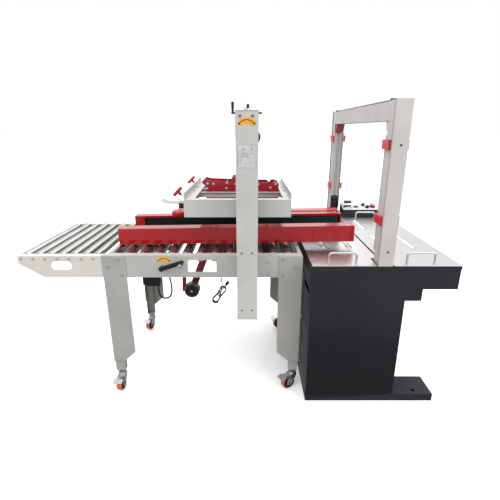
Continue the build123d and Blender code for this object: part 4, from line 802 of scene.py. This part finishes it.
def add_strapper_trim():
    """Access door, upper panel and lock on the infeed face, black slabs in the arch's grooves as painted
    shade, screws and vents.
    """
    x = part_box("strapper_cabinet")[0].x
    add_slab_piece("access_door", (x - 0.0016, -0.400, 0.075), (x, 0.515, 0.640), 0.0007, "cabinet", "base")
    add_slab_piece("upper_panel", (x - 0.0014, -0.600, 0.656), (x, 0.600, 0.744), 0.0006, "cabinet_panel",
                   "base")
    # black slabs filling the arch's grooves: painted shade in the recess
    groove_shade, groove_shade_x = bmesh.new(), 0.0322
    for side in (-1, 1):
        y0, y1 = sorted((side * 0.5845, side * 0.5915))
        add_slab(groove_shade, (ARCH_X - groove_shade_x, y0, 0.7505), (ARCH_X + groove_shade_x, y1, 1.4685), 0.0005, 1)
    from_bm("arch_groove_shade", groove_shade, "black", "base")
    add_slab_piece("table_edge", (1.0571, -0.610, 0.733), (1.0600, 0.388, 0.7498), 0.0006, "black",
                   "right_lid")
    lathe("door_lock", [(0, 0.004), (0.008, 0.004), (0.0095, 0.003), (0.0095, 0)],
          facing((x - 0.0016, -0.360, 0.36), (-1, 0, 0)), "bolt", "base", 28)
    screws, screw_r = bmesh.new(), 0.0045
    right, back = 0.815, 0.610                   # the cabinet's outfeed and far faces
    for y in (-0.385, -0.08, 0.21, 0.50):
        for z in (0.09, 0.625):
            round_screw(screws, (x - 0.0016, y, z), (-1, 0, 0), screw_r)
    for y in (-0.58, -0.2, 0.2, 0.58):
        for z in (0.08, 0.55):
            round_screw(screws, (right, y, z), (1, 0, 0), screw_r)
    for across, z in ((0.40, 0.70), (1.02, 0.70), (0.40, 0.09), (0.78, 0.09)):
        round_screw(screws, (across, back, z), (0, 1, 0), screw_r)
    from_bm("cabinet_screws", screws, "bolt", "base")
    vents, rows, pitch, slot = bmesh.new(), 9, 0.016, 0.007
    for i in range(rows):
        z = 0.42 + pitch * i
        add_slab(vents, (0.52, 0.6098, z), (0.68, 0.6128, z + slot), 0.0014, 2)
    for i in range(rows):
        z = 0.30 + pitch * i
        add_slab(vents, (0.8148, -0.10, z), (0.8178, 0.10, z + slot), 0.0014, 2)
    from_bm("cabinet_vents", vents, "cabinet", "base")


add_cords()
add_labels()
add_tape()
add_cover_screws()
add_head_bolts()
add_tape_head_parts()
add_strapper_trim()


# ---------------------------------------------------------------- stage
def add_stage():
    """A plain pale floor."""
    size, z = 60.0, -0.0005
    mesh = bpy.data.meshes.new("floor")
    mesh.from_pydata([(-size, -size, z), (size, -size, z), (size, size, z), (-size, size, z)], [],
                     [(0, 1, 2, 3)])
    floor = bpy.data.objects.new("floor", mesh)
    bpy.context.scene.collection.objects.link(floor)
    made, tree, bsdf = shader("floor_pale")
    base = blend_colour(tree, noise(tree, 2.0, 3.0), (0.93, 0.93, 0.93), (0.96, 0.96, 0.96))
    tree.links.new(base, bsdf.inputs["Base Color"])
    bsdf.inputs["Roughness"].default_value = 0.7
    bsdf.inputs["Emission Color"].default_value = (1.0, 1.0, 1.0, 1.0)
    bsdf.inputs["Emission Strength"].default_value = 0.14
    mesh.materials.append(made)
    floor.visible_diffuse = False
    floor.visible_glossy = False


def add_light(name, kind, energy, location, target, size, size_y=None):
    light = bpy.data.lights.new(name, kind)
    light.energy = energy
    if kind == "AREA":
        light.shape = "RECTANGLE"
        light.size = size
        light.size_y = size_y or size
    made = bpy.data.objects.new(name, light)
    made.location = location
    made.rotation_euler = (Vector(target) - Vector(location)).to_track_quat("-Z", "Y").to_euler()
    bpy.context.scene.collection.objects.link(made)


def add_camera():
    lens = bpy.data.cameras.new("camera")
    lens.lens = 26.57
    lens.sensor_width = 36.0
    lens.clip_end = 200.0
    made = bpy.data.objects.new("camera", lens)
    made.location = (0.077, -2.205, 1.352)
    made.rotation_euler = (math.radians(71.9), 0, 0)
    bpy.context.scene.collection.objects.link(made)
    bpy.context.scene.camera = made


def add_world():
    """White studio light from above and the sides, dimmer from below the horizon."""
    world = bpy.data.worlds.new("studio")
    world.use_nodes = True
    tree = world.node_tree
    sky = tree.nodes["Background"]
    where = node(tree, "ShaderNodeTexCoord")
    split = node(tree, "ShaderNodeSeparateXYZ")
    tree.links.new(where.outputs["Generated"], split.inputs[0])
    below = spread(tree, split.outputs["Z"], -0.40, -0.06, 0.45, 1.0)
    above = spread(tree, split.outputs["Z"], 0.30, 0.95, 1.0, 2.3)
    both = node(tree, "ShaderNodeMath", operation="MULTIPLY")
    tree.links.new(below, both.inputs[0])
    tree.links.new(above, both.inputs[1])
    tree.links.new(both.outputs[0], sky.inputs["Strength"])
    sky.inputs["Color"].default_value = (1.0, 1.0, 1.0, 1.0)
    bpy.context.scene.world = world
    bpy.context.scene.view_settings.view_transform = "Standard"


add_camera()
add_world()
add_stage()
add_light("key", "AREA", 45.0, (-2.2, -3.0, 3.6), (0, 0, 0.7), 2.4)
add_light("fill", "AREA", 55.0, (3.2, -2.4, 2.6), (0.3, 0, 0.7), 2.0)
add_light("rear", "AREA", 30.0, (0.5, 3.4, 3.2), (0, 0, 0.8), 2.5)
